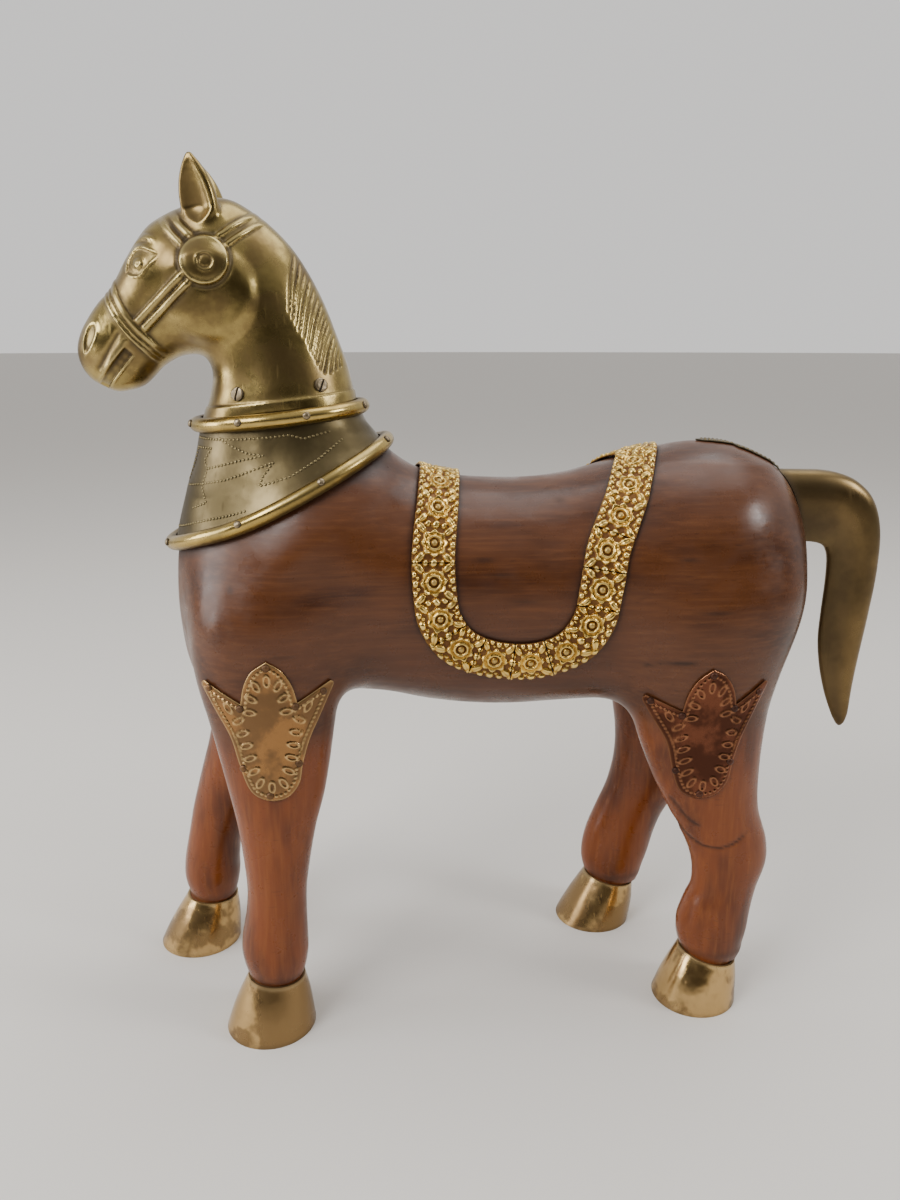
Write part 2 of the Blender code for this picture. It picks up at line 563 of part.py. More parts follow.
def add(name, points, faces, finish, smooth=True):
    """A named object from points in drawing units."""
    mesh = bpy.data.meshes.new(name)
    mesh.from_pydata(to_frame(points).tolist(), [], [list(map(int, f)) for f in faces])
    mesh.update()
    if smooth:
        mesh.shade_smooth()
        mesh.set_sharp_from_angle(angle=math.radians(35))
    mesh.materials.append(material(finish))
    made = bpy.data.objects.new(name, mesh)
    bpy.context.scene.collection.objects.link(made)
    return made


def thinned(made, triangles, field=None):
    """Collapses a fine mesh to about that many triangles, then puts its points back on the field."""
    made.data.calc_loop_triangles()
    modifier = made.modifiers.new("Decimate", "DECIMATE")
    modifier.ratio = triangles / len(made.data.loop_triangles)
    modifier.use_collapse_triangulate = True
    graph = bpy.context.evaluated_depsgraph_get()
    mesh = bpy.data.meshes.new_from_object(made.evaluated_get(graph))
    made.modifiers.clear()
    old = made.data
    mesh.name = made.name
    made.data = mesh
    bpy.data.meshes.remove(old)
    if field is not None:
        p = np.empty(len(mesh.vertices) * 3)
        mesh.vertices.foreach_get("co", p)
        p = p.reshape(-1, 3) / MM + (DRAWN_MIDDLE, 0, 0)
        moved, _ = settled(field, p, rounds=2)
        shift = moved - p
        far = np.linalg.norm(shift, axis=1) > 1.5
        moved[far] = p[far]
        mesh.vertices.foreach_set("co", to_frame(moved).ravel())
        mesh.update()
    mesh.shade_smooth()
    mesh.set_sharp_from_angle(angle=math.radians(50))
    return made


def tube_faces(rings, around, closed=False):
    """Quads between rings of points; an open tube gets its two ends closed by a face."""
    i, j = np.meshgrid(np.arange(rings if closed else rings - 1), np.arange(around), indexing="ij")
    i, j = i.ravel(), j.ravel()
    n, k = (i + 1) % rings, (j + 1) % around
    faces = np.stack([i * around + j, i * around + k, n * around + k, n * around + j], 1).tolist()
    if not closed:
        faces.append(list(range(around))[::-1])
        faces.append(list(range((rings - 1) * around, rings * around)))
    return faces


def sheet(name, base, normals, low, high, finish):
    """A sheet over a grid of points on the wood: an inner face at low, an outer one at high, and its edges."""
    rows, columns = base.shape[:2]
    wraps = np.allclose(base[:, 0], base[:, -1])
    if wraps:
        base, normals, columns = base[:, :-1], normals[:, :-1], columns - 1
    inner, outer = base + normals * low, base + normals * high
    points = np.vstack([inner.reshape(-1, 3), outer.reshape(-1, 3)])
    half = rows * columns
    i, j = np.meshgrid(np.arange(rows - 1), np.arange(columns if wraps else columns - 1), indexing="ij")
    i, j = i.ravel(), j.ravel()
    k = (j + 1) % columns
    quads = np.stack([i * columns + j, i * columns + k, (i + 1) * columns + k, (i + 1) * columns + j], 1)
    faces = [half + quads, quads[:, ::-1]]
    for row, way in ((0, 1), (rows - 1, -1)):
        a = row * columns + np.arange(columns if wraps else columns - 1)
        b = row * columns + (np.arange(len(a)) + 1) % columns
        faces.append(np.stack([a, b, b + half, a + half], 1)[:, ::way])
    if not wraps:
        for column, way in ((0, -1), (columns - 1, 1)):
            a = np.arange(rows - 1) * columns + column
            faces.append(np.stack([a, a + columns, a + columns + half, a + half], 1)[:, ::way])
    made = add(name, points, np.vstack(faces), finish)
    face_out(made)
    return made


def face_out(made):
    """Turns all faces of a closed mesh outwards."""
    shape = bmesh.new()
    shape.from_mesh(made.data)
    bmesh.ops.recalc_face_normals(shape, faces=shape.faces)
    if shape.calc_volume(signed=True) < 0:
        bmesh.ops.reverse_faces(shape, faces=shape.faces)
    shape.to_mesh(made.data)
    shape.free()


def wood():
    outline = np.array(TRUNK_OUTLINE)
    sole = min(place[0] for place in HOOF_PLACES.values()) - FRONT_HOOF_RADIUS / MM
    half = max(HOOF_TRACK + HIND_HOOF_RADIUS / MM, max(row[1] for row in TRUNK_WIDTH)) + GRID_MARGIN
    low = (min(sole, outline[:, 0].min()) - GRID_MARGIN, -half, -GRID_MARGIN)
    high = (outline[:, 0].max() + GRID_MARGIN, half, plane_height(UPPER_BAR_PLANE, 0) + GRID_MARGIN)
    points, faces = field_mesh(wood_field, low, high, WOOD_CELL)
    points, _ = settled(wood_field, points, rounds=2)
    return thinned(add("wood_body", points, faces, "wood"), WOOD_TRIANGLES, wood_field)


def head():
    outline = np.array(HEAD_OUTLINE)
    half = NECK_HALF_WIDTH + GRID_MARGIN
    low = (outline[:, 0].min() - GRID_MARGIN, -half, plane_height(UPPER_BAR_PLANE, outline[:, 0].min()))
    high = (outline[:, 0].max() + GRID_MARGIN, half, EAR_TIP[2] + GRID_MARGIN)
    points, faces = field_mesh(head_field, low, high, HEAD_CELL)
    return thinned(add("brass_head", points, faces, "cast_brass"), HEAD_TRIANGLES)


def neck_ring(plane, count, sag=0.0):
    """Points and normals where a plane cuts the neck, from the front round by the left side."""
    low, high = -136.0, -34.0
    middle = np.array([(low + high) / 2, 0, plane_height(plane, (low + high) / 2)])
    angle = np.linspace(0, 2 * math.pi, count, endpoint=False)
    ahead = np.array([-1, 0, -plane[1]]) / math.hypot(1, plane[1])
    way = np.cos(angle)[:, None] * ahead + np.sin(angle)[:, None] * np.array([0, -1, 0])
    p = cast(trunk_field, np.repeat(middle[None], count, 0), way, 90)
    p[:, 2] -= sag * np.sin(angle) ** 2
    return settled(skin_field, p)


def collar():
    """Sheet wrapped round the neck between the two bars."""
    rows, count = 4, RING_POINTS
    low, _ = neck_ring(LOWER_BAR_PLANE, count, BAR_SAG)
    high, _ = neck_ring((UPPER_BAR_PLANE[0] - 1.0, UPPER_BAR_PLANE[1]), count)
    t = np.linspace(0, 1, rows)[:, None, None]
    base, normals = settled(skin_field, (low + (high - low) * t).reshape(-1, 3))
    base, normals = base.reshape(rows, count, 3), normals.reshape(rows, count, 3)
    base = np.concatenate([base, base[:, :1]], 1)
    normals = np.concatenate([normals, normals[:, :1]], 1)
    inner = SHEET_CLEARANCE / MM
    sheet("collar_plate", base, normals, inner, inner + SHEET_THICKNESS / MM, "sheet_brass")


def bar_seat():
    """Height of a bar's flat back above the wood: it lies on the collar sheet."""
    return (SHEET_CLEARANCE + SHEET_THICKNESS + BAR_GAP) / MM


def bar(name, plane, sag, nails):
    """Half-round bar along a ring of the neck, with its nails."""
    count = RING_POINTS
    p, n = neck_ring(plane, count, sag)
    along = np.roll(p, -1, 0) - np.roll(p, 1, 0)
    along = along / np.linalg.norm(along, axis=1)[:, None]
    n = n - along * (n * along).sum(1)[:, None]
    n = n / np.linalg.norm(n, axis=1)[:, None]
    side = np.cross(along, n)
    turn = np.linspace(0, math.pi, 5)
    across, out = np.cos(turn) * BAR_WIDTH / 2 / MM, np.sin(turn) ** 0.8 * BAR_HEIGHT / MM + bar_seat()
    ring = p[:, None] + side[:, None] * across[None, :, None] + n[:, None] * out[None, :, None]
    face_out(add(name, ring.reshape(-1, 3), tube_faces(count, len(turn), closed=True), "cast_brass"))
    top = bar_seat() + (BAR_HEIGHT + PIECE_GAP) / MM
    for i, angle in enumerate(nails):
        spot = angle / 360 * count
        a, f = int(spot) % count, spot % 1
        b = (a + 1) % count
        way = n[a] * (1 - f) + n[b] * f
        nail(f"{name}_nail_{i + 1}", p[a] * (1 - f) + p[b] * f + way * top, way)


def square_to(normal):
    """Two directions square to a normal and to each other."""
    normal = normal / np.linalg.norm(normal)
    first = np.cross(normal, (0, 0, 1) if abs(normal[2]) < 0.9 else (1, 0, 0))
    first = first / np.linalg.norm(first)
    return first, np.cross(normal, first), normal


def nail(name, foot, normal):
    """Domed nail head standing on its foot point."""
    first, second, normal = square_to(np.asarray(normal, float))
    turn = np.linspace(0, 2 * math.pi, 7, endpoint=False)
    radius, tall = NAIL_RADIUS / MM, NAIL_HEIGHT / MM
    rings = [(radius, 0), (radius * 0.6, tall)]
    points = [
        foot + first * r * math.cos(a) + second * r * math.sin(a) + normal * h for r, h in rings for a in turn
    ]
    face_out(add(name, points, tube_faces(len(rings), len(turn)), "iron"))


def screw(name, foot, normal, turn):
    """Slotted screw head: a round head whose slot runs across it."""
    first, second, normal = square_to(np.asarray(normal, float))
    c, s = math.cos(turn), math.sin(turn)
    first, second = first * c + second * s, second * c - first * s
    radius, tall, slot = SCREW_RADIUS / MM, SCREW_HEIGHT / MM, SCREW_SLOT / 2 / MM
    corner = math.asin(slot / radius)
    near = list(np.linspace(corner, math.pi - corner, 6))
    turns = near + list(np.linspace(math.pi + corner, 2 * math.pi - corner, 6))
    rim = [(radius * math.cos(a), radius * math.sin(a)) for a in turns]
    points = [foot + first * u + second * v + normal * h for h in (0, tall) for u, v in rim]
    points += [foot + first * rim[i][0] + second * rim[i][1] + normal * tall * 0.45 for i in (0, 5, 6, 11)]
    count = len(rim)
    faces = [list(range(count))[::-1], list(range(count, count + 6)), list(range(count + 6, 2 * count))]
    for i in list(range(5)) + list(range(6, 11)):
        faces.append([i, i + 1, count + i + 1, count + i])
    a, b, c, d = range(2 * count, 2 * count + 4)
    faces += [[a, b, count + 5, count], [c, d, 2 * count - 1, count + 6], [a, d, c, b]]
    faces += [[5, 6, c, b], [11, 0, a, d], [5, b, count + 5], [6, count + 6, c]]
    faces += [[11, d, 2 * count - 1], [0, count, a]]
    made = add(name, points, faces, "iron", smooth=False)
    face_out(made)


def neck_screws():
    """Two screws on each side hold the casting to the neck."""
    for side, word in ((-1, "left"), (1, "right")):
        for place, (x, z), turn in (("front", (-98.5, 335), 1.35), ("rear", (-59.0, 339), 1.1)):
            spot = cast(head_field, np.array([[x, 0.0, z]]), np.array([0.0, side, 0.0]), 60)
            spot, normal = settled(head_field, spot)
            screw(f"neck_screw_{word}_{place}", spot[0] + normal[0] * PIECE_GAP / MM, normal[0], turn)


def strap_line(count):
    """The strap's middle line round both sides and over the back, on the wood, evenly spaced, with its normals."""
    side = spline(STRAP_PATH, 120)
    flank = np.stack([side[:, 0], np.zeros(len(side)), side[:, 1]], 1)
    flank = cast(trunk_field, flank, np.array([0.0, -1.0, 0.0]), 80)
    ridge_height = 236.0
    parts = []
    for end, ridge_x in zip((flank[0], flank[-1]), STRAP_OVER_BACK):
        full = math.atan2(-end[1], end[2] - ridge_height)
        share = np.linspace(0, 1, 24, endpoint=False)
        turn = share * full
        start = np.stack([ridge_x + (end[0] - ridge_x) * share, 0 * share, ridge_height + 0 * share], 1)
        way = np.stack([0 * turn, -np.sin(turn), np.cos(turn)], 1)
        parts.append(cast(trunk_field, start, way, 90))
    left = np.vstack([parts[0], flank, parts[1][::-1]])
    loop = np.vstack([left, (left * (1, -1, 1))[::-1][1:-1]])
    loop = np.vstack([loop, loop[:1]])
    length = np.concatenate([[0], np.cumsum(np.linalg.norm(np.diff(loop, axis=0), axis=1))])
    at = np.linspace(0, length[-1], count, endpoint=False)
    even = np.stack([np.interp(at, length, loop[:, i]) for i in range(3)], 1)
    return settled(wood_field, even, rounds=3)


def strap():
    """Stamped strap in lengths, laid round the saddle on both sides and across the back."""
    per_side = sum(STRAP_LENGTHS)
    tiles = 2 * (per_side + BACK_TILE_COUNT)
    fine = 2
    p, n = strap_line(tiles * fine)
    along = np.roll(p, -1, 0) - np.roll(p, 1, 0)
    along = along / np.linalg.norm(along, axis=1)[:, None]
    side = np.cross(along, n)
    across = np.linspace(-0.5, 0.5, 3) * STRAP_WIDTH / MM
    grid = p[None] + side[None] * across[:, None, None]
    base, normals = settled(wood_field, grid.reshape(-1, 3))
    base, normals = base.reshape(grid.shape), normals.reshape(grid.shape)
    half = BACK_TILE_COUNT * fine // 2
    at = BACK_TILE_COUNT * fine - half
    bounds = [("front_top", -half, at)]
    for i, tile_count in enumerate(STRAP_LENGTHS):
        bounds.append((f"left_{i + 1}", at, at + tile_count * fine))
        at += tile_count * fine
    bounds.append(("rear_top", at, at + BACK_TILE_COUNT * fine))
    at += BACK_TILE_COUNT * fine
    for i, tile_count in enumerate(STRAP_LENGTHS[::-1]):
        bounds.append((f"right_{len(STRAP_LENGTHS) - i}", at, at + tile_count * fine))
        at += tile_count * fine
    inner = STRAP_CLEARANCE / MM
    for name, first, last in bounds:
        pick = np.arange(first, last + 1) % (tiles * fine)
        part, face = base[:, pick].copy(), normals[:, pick]
        trim = STRAP_CUT / 2 / MM
        for end, way in ((0, 1), (-1, -1)):
            inward = (part[:, end + way] - part[:, end])
            part[:, end] += inward / np.linalg.norm(inward, axis=1)[:, None] * trim
        sheet(f"strap_{name}", part, face, inner, inner + STRAP_THICKNESS / MM, "stamped_brass")


def leg_plates():
    """Lobed plates nailed on the outer side of each leg."""
    rows = 5
    across = np.array(LEG_PLATE_PLACES)
    top = np.interp(across, *np.transpose(LEG_PLATE_TOP))
    foot = np.interp(across, *np.transpose(LEG_PLATE_FOOT))
    down = np.linspace(0, 1, rows)[:, None]
    for name, (x, z, slant, lean) in LEG_PLATES.items():
        side = -1 if "left" in name else 1
        height = z + top + (foot - top) * down + slant * across
        along = x + across + lean * (height - z)
        start = np.stack([along, side * 12.0 + 0 * height, height], -1).reshape(-1, 3)
        p = cast(wood_field, start, np.array([0.0, side, 0.0]), 70)
        p, n = settled(wood_field, p, rounds=2)
        inner = SHEET_CLEARANCE / MM
        grid = (rows, len(across), 3)
        outer = inner + SHEET_THICKNESS / MM
        sheet(f"leg_plate_{name}", p.reshape(grid), n.reshape(grid), inner, outer, "sheet_brass")


def croup_plate():
    """Narrow plate on top of the croup, in front of the tail."""
    rows, columns = 9, 5
    at = np.linspace(0, 1, rows)
    shape = np.asarray(CROUP_PLATE, float)
    x = shape[0, 0] + (shape[-1, 0] - shape[0, 0]) * at
    half = np.interp(x, shape[:, 0], shape[:, 1])
    y = np.linspace(-1, 1, columns)[:, None] * half[None]
    start = np.stack([np.broadcast_to(x, y.shape), y, np.full(y.shape, 250.0)], -1).reshape(-1, 3)
    p = cast(wood_field, start, np.array([0.0, 0.0, 1.0]), 90)
    p, n = settled(wood_field, p, rounds=2)
    inner = SHEET_CLEARANCE / MM
    grid = (columns, rows, 3)
    outer = inner + SHEET_THICKNESS / MM
    sheet("croup_plate", p.reshape(grid), n.reshape(grid), inner, outer, "sheet_brass")


def hooves():
    """Tapered brass sleeves round the wooden hooves."""
    around, rows = 16, 3
    turn = np.linspace(0, 2 * math.pi, around, endpoint=False)
    for name, (_, _, _, rise) in HOOF_PLACES.items():
        side = -1 if "left" in name else 1
        wall = HOOF_WALL / MM
        rings = []
        steps = [(t, 0.0) for t in np.linspace(0, 1, rows)] + [(t, wall) for t in np.linspace(1, 0, rows)]
        for t, inset in steps:
            height = t * (HOOF_HEIGHT / MM - rise * (1 + np.cos(turn)) / 2)
            middle, length, width = hoof_radii(name, height)
            rings.append(np.stack([
                middle + (length - inset) * np.cos(turn),
                side * HOOF_TRACK + (width - inset) * np.sin(turn),
                height,
            ], 1))
        faces = tube_faces(2 * rows, around, closed=True)
        face_out(add(f"hoof_{name}", np.vstack(rings), faces, "sheet_brass"))


def tail():
    """Brass tail: rounded square sections from the rump over and down to a point."""
    rows = spline(TAIL_SECTIONS, 14)[1:]
    around = 10
    turn = np.linspace(0, 2 * math.pi, around, endpoint=False) + math.pi / around
    rounded = lambda v: np.sign(v) * np.abs(v) ** 0.75
    across, out = rounded(np.cos(turn)), rounded(np.sin(turn))
    rings = []
    for ox, oz, ix, iz, half in rows:
        middle = np.array([(ox + ix) / 2, 0, (oz + iz) / 2])
        reach = np.array([(ox - ix) / 2, 0, (oz - iz) / 2])
        rings.append(middle + out[:, None] * reach + across[:, None] * np.array([0, half, 0]))
    first = np.array(rings[0])
    caps = []
    for share in (0.0, 0.55, 1.0):
        spot = first.mean(0) + (first - first.mean(0)) * share
        spot[:, 0] = 120.0
        hit = cast(wood_field, spot, np.array([1.0, 0.0, 0.0]), 120)
        hit, normal = settled(wood_field, hit, rounds=1)
        caps.append(hit + np.array([1.0, 0, 0]) * (2.0 * PIECE_GAP / MM) / np.maximum(normal[:, :1], 0.5))
    body = np.vstack([caps[0][:1], caps[1], caps[2], *rings[1:]])
    faces = [[0, 1 + (j + 1) % around, 1 + j] for j in range(around)]
    bands = len(rings) + 1
    for i in range(bands - 1):
        for j in range(around):
            k = (j + 1) % around
            a, b = 1 + i * around, 1 + (i + 1) * around
            faces.append([a + j, a + k, b + k, b + j])
    last = 1 + (bands - 1) * around
    faces.append([last + j for j in range(around)])
    face_out(add("brass_tail", body, faces, "cast_brass"))


def main():
    for old in list(bpy.data.objects):
        bpy.data.objects.remove(old)
    wood()
    head()
    collar()
    bar("upper_bar", UPPER_BAR_PLANE, 0.0, (12, 68, 122, 167, 238, 292))
    bar("lower_bar", LOWER_BAR_PLANE, BAR_SAG, (12, 74, 124, 167, 236, 286))
    neck_screws()
    strap()
    leg_plates()
    croup_plate()
    hooves()
    tail()


if __name__ == "__main__":
    main()
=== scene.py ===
import math

import bmesh
import bpy
import numpy as np
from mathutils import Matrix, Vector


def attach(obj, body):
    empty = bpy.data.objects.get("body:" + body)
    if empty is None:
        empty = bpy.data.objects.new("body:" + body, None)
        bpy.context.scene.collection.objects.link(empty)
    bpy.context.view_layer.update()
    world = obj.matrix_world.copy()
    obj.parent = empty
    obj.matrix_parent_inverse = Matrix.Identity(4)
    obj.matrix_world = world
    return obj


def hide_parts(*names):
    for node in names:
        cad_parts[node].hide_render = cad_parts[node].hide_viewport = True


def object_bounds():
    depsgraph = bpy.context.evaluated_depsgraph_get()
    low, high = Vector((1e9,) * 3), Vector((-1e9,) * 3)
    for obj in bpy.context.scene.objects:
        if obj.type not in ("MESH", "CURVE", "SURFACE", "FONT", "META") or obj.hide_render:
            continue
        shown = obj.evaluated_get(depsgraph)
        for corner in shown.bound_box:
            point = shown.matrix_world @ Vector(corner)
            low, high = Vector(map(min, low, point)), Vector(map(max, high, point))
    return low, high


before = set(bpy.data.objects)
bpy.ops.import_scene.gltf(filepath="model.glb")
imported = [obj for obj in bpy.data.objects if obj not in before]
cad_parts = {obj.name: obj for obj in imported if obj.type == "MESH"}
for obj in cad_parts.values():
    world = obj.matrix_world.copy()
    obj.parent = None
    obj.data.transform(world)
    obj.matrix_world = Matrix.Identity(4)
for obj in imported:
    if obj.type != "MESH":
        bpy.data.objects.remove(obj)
cadLow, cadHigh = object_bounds()
boxLow, boxHigh = np.array(cadLow) * 1000, np.array(cadHigh) * 1000

# Lengths are in millimetres, with x from midway between the hooves, as the carver's drawing has them.
drawnMiddle = 34.6  # x of the frame's origin in the drawing
mm = 0.001


# Shape work that the pieces share.


def spline(points, count, closed=False):
    # Catmull-Rom: between two points, a cubic whose slope at each is half the step between its neighbours.
    p = np.asarray(points, float)
    p = np.vstack([p[-1], p, p[:2]]) if closed else np.vstack([2 * p[0] - p[1], p, 2 * p[-1] - p[-2]])
    spans = len(p) - 3
    t = np.linspace(0, spans, count, endpoint=not closed)
    i = np.minimum(t.astype(int), spans - 1)
    u = (t - i)[:, None]
    a, b, c, d = p[i], p[i + 1], p[i + 2], p[i + 3]
    return 0.5 * (2 * b + (c - a) * u + (2 * a - 5 * b + 4 * c - d) * u**2 + (3 * b - a - 3 * c + d) * u**3)


def smoothStep(low, high, value):
    # 0 below low, 1 above high, and 3t^2 - 2t^3 between.
    t = np.clip((value - low) / (high - low), 0, 1)
    return t * t * (3 - 2 * t)


def softUnion(a, b, softness):
    # The smaller of two distances, rounded off over the softness where they meet.
    h = np.clip(0.5 + 0.5 * (b - a) / softness, 0, 1)
    return b * (1 - h) + a * h - softness * h * (1 - h)


def lineDistance(x, z, line):
    # Distance to the nearest point of a polyline, the share of its spans passed there, and on which side
    # it lies.
    best = np.full(np.broadcast(x, z).shape, 1e9)
    along, side = np.zeros(best.shape), np.zeros(best.shape)
    for i, ((ax, az), (bx, bz)) in enumerate(zip(line[:-1], line[1:])):
        ex, ez = bx - ax, bz - az
        t = np.clip(((x - ax) * ex + (z - az) * ez) / (ex * ex + ez * ez), 0, 1)
        d = np.hypot(x - ax - ex * t, z - az - ez * t)
        along = np.where(d < best, (i + t) / (len(line) - 1), along)
        side = np.where(d < best, np.sign(ex * (z - az) - ez * (x - ax)), side)
        best = np.minimum(best, d)
    return best, along, side


def rib(distance, half, height):
    # Half an ellipse across the distance: full height at 0, nothing beyond the half width.
    return height * np.sqrt(np.clip(1 - (distance / half) ** 2, 0, 1))


def bump(distance, half):
    # Bell curve: 1 at 0, about a third at the half width.
    return np.exp(-((distance / half) ** 2))


def outlineDistance(x, z, outline):
    # Distance to the nearest side of a closed outline, counted below 0 inside it.
    best = np.full(np.broadcast(x, z).shape, 1e18)
    inside = np.zeros(best.shape, bool)
    for (ax, az), (bx, bz) in zip(outline, np.roll(outline, -1, 0)):
        ex, ez = bx - ax, bz - az
        t = np.clip(((x - ax) * ex + (z - az) * ez) / (ex * ex + ez * ez), 0, 1)
        best = np.minimum(best, (x - ax - ex * t) ** 2 + (z - az - ez * t) ** 2)
        if bz != az:
            inside ^= ((az <= z) != (bz <= z)) & (x < ax + (z - az) / (bz - az) * ex)
    return np.where(inside, -np.sqrt(best), np.sqrt(best))


def blurred(grid, reach):
    # Mean of the neighbours under a bell curve of that reach in cells, along one axis and then the other.
    n = int(3 * reach)
    weights = np.exp(-0.5 * (np.arange(-n, n + 1) / reach) ** 2)
    weights = weights / weights.sum()
    for axis in (0, 1):
        padded = np.pad(grid, [(n, n) if i == axis else (0, 0) for i in (0, 1)], mode="edge")
        size = grid.shape[axis]
        parts = [
            w * (padded[k : k + size] if axis == 0 else padded[:, k : k + size])
            for k, w in enumerate(weights)
        ]
        grid = sum(parts)
    return grid


def sampler(grid, low, cell):
    # Reads a grid of values between its points: a weighted mean of the four around.
    def read(x, z):
        u = np.clip((x - low[0]) / cell, 0, grid.shape[0] - 1.001) + 0 * z
        v = np.clip((z - low[1]) / cell, 0, grid.shape[1] - 1.001) + 0 * x
        i, j = u.astype(int), v.astype(int)
        u, v = u - i, v - j
        near = grid[i, j] * (1 - u) * (1 - v) + grid[i + 1, j] * u * (1 - v)
        return near + grid[i, j + 1] * (1 - u) * v + grid[i + 1, j + 1] * u * v

    return read


def depthMap(outline, blur, cell=0.75):
    # Distance to the outline on a grid, blurred well inside it so that no crease shows along the middle.
    low, high = outline.min(0) - 12, outline.max(0) + 12
    x, z = (np.arange(low[i], high[i] + cell, cell) for i in (0, 1))
    exact = outlineDistance(x[:, None], z[None, :], outline)
    soft = blurred(exact, blur / cell)
    return sampler(exact + (soft - exact) * smoothStep(-1.0, -2.2 * blur, exact), low, cell)


def pillow(depth, y, rounding, halfWidth):
    # Its side outline is at depth 0, and its flanks roll out to the half width over the rounding's depth.
    rise = np.maximum(rounding + depth, 0) / rounding
    return rounding * (np.sqrt(rise**2 + (y / halfWidth) ** 2) - 1)


def slope(field, p, reach=0.35):
    # Difference of the field a little before and after each point, along each axis.
    found = []
    for axis in range(3):
        d = np.zeros(3)
        d[axis] = reach
        a, b = p + d, p - d
        found.append(field(a[:, 0], a[:, 1], a[:, 2]) - field(b[:, 0], b[:, 1], b[:, 2]))
    return np.stack(found, 1) / (2 * reach)


def settle(field, p, rounds=5):
    # Each point goes down the slope by the field's value there, and so onto the surface.
    for _ in range(rounds):
        g = slope(field, p)
        value = field(p[:, 0], p[:, 1], p[:, 2])
        p = p - g * (np.clip(value, -4, 4) / np.maximum((g**2).sum(1), 0.05))[:, None]
    g = slope(field, p)
    return p, g / np.linalg.norm(g, axis=1)[:, None]


def castOut(field, start, way, reach):
    # Halves the stretch between inside and outside twenty times along each ray.
    low, high = np.zeros(len(start)), np.full(len(start), float(reach))
    way = np.broadcast_to(way, start.shape)
    for _ in range(20):
        mid = (low + high) / 2
        q = start + way * mid[:, None]
        outside = field(q[:, 0], q[:, 1], q[:, 2]) > 0
        high = np.where(outside, mid, high)
        low = np.where(outside, low, mid)
    return start + way * ((low + high) / 2)[:, None]


def fieldSurface(field, axes):
    # Surface nets: each cell that the surface crosses gets one point, the mean of where the surface cuts
    # the cell's edges, and each grid line that it crosses gets a quad between the four cells around.
    values = field(axes[0][:, None, None], axes[1][None, :, None], axes[2][None, None, :])
    inside = values < 0
    cells = [n - 1 for n in values.shape]
    corners = [(i, j, k) for i in (0, 1) for j in (0, 1) for k in (0, 1)]
    full = sum(
        inside[i : i + cells[0], j : j + cells[1], k : k + cells[2]].astype(np.int8)
        for i, j, k in corners
    )
    active = np.argwhere((full > 0) & (full < 8))
    total, count = np.zeros((len(active), 3)), np.zeros(len(active))
    for a in corners:
        for axis in range(3):
            if a[axis]:
                continue
            b = tuple(1 if i == axis else a[i] for i in range(3))
            pa, pb = active + a, active + b
            va, vb = values[tuple(pa.T)], values[tuple(pb.T)]
            cut = (va < 0) != (vb < 0)
            t = np.where(cut, va / np.where(cut, va - vb, 1), 0)
            for i in range(3):
                at = axes[i][pa[:, i]]
                total[:, i] += np.where(cut, at + (axes[i][pb[:, i]] - at) * t, 0)
            count += cut
    index = np.full(cells, -1)
    index[tuple(active.T)] = np.arange(len(active))
    quads = []
    for axis in range(3):
        u, v = (axis + 1) % 3, (axis + 2) % 3
        low = [slice(None)] * 3
        high = [slice(None)] * 3
        low[axis], high[axis] = slice(None, -1), slice(1, None)
        g = np.argwhere(inside[tuple(low)] != inside[tuple(high)])
        g = g[(g[:, u] > 0) & (g[:, v] > 0) & (g[:, u] < cells[u]) & (g[:, v] < cells[v])]
        du, dv = np.eye(3, dtype=int)[u], np.eye(3, dtype=int)[v]
        ring = np.stack([index[tuple((g - s).T)] for s in (0 * du, du, du + dv, dv)], 1)
        leaving = inside[tuple(g.T)]
        quads.append(np.where(leaving[:, None], ring, ring[:, ::-1]))
    return total / count[:, None], np.vstack(quads)


def tubeQuads(rings, around, closed=False):
    # Quads between neighbouring rings of points.
    i, j = np.meshgrid(np.arange(rings if closed else rings - 1), np.arange(around), indexing="ij")
    i, j = i.ravel(), j.ravel()
    n, k = (i + 1) % rings, (j + 1) % around
    return np.stack([i * around + j, i * around + k, n * around + k, n * around + j], 1)


def faceOut(mesh):
    # Turns all faces of a closed mesh outwards.
    shape = bmesh.new()
    shape.from_mesh(mesh)
    bmesh.ops.recalc_face_normals(shape, faces=shape.faces)
    if shape.calc_volume(signed=True) < 0:
        bmesh.ops.reverse_faces(shape, faces=shape.faces)
    shape.to_mesh(mesh)
    shape.free()


def addPiece(name, points, faces, material, nodes, marks=None, crease=None, turn=True):
    # One object from points in the drawing's millimetres, kept within the frame's box, riding on the root
    # body.
    p = np.asarray(points, float) - (drawnMiddle, 0, 0)
    p = np.clip(p, boxLow, boxHigh) * mm
    mesh = bpy.data.meshes.new(name)
    mesh.from_pydata(p.tolist(), [], [list(map(int, f)) for f in faces])
    mesh.update()
    for mark, values in (marks or {}).items():
        mesh.attributes.new(mark, "FLOAT", "POINT").data.foreach_set("value", np.asarray(values, np.float32))
    if turn:
        faceOut(mesh)
    mesh.shade_smooth()
    if crease:
        mesh.set_sharp_from_angle(angle=math.radians(crease))
    mesh.materials.append(material)
    made = bpy.data.objects.new(name, mesh)
    bpy.context.scene.collection.objects.link(made)
    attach(made, "root")
    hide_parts(*nodes)
    return made


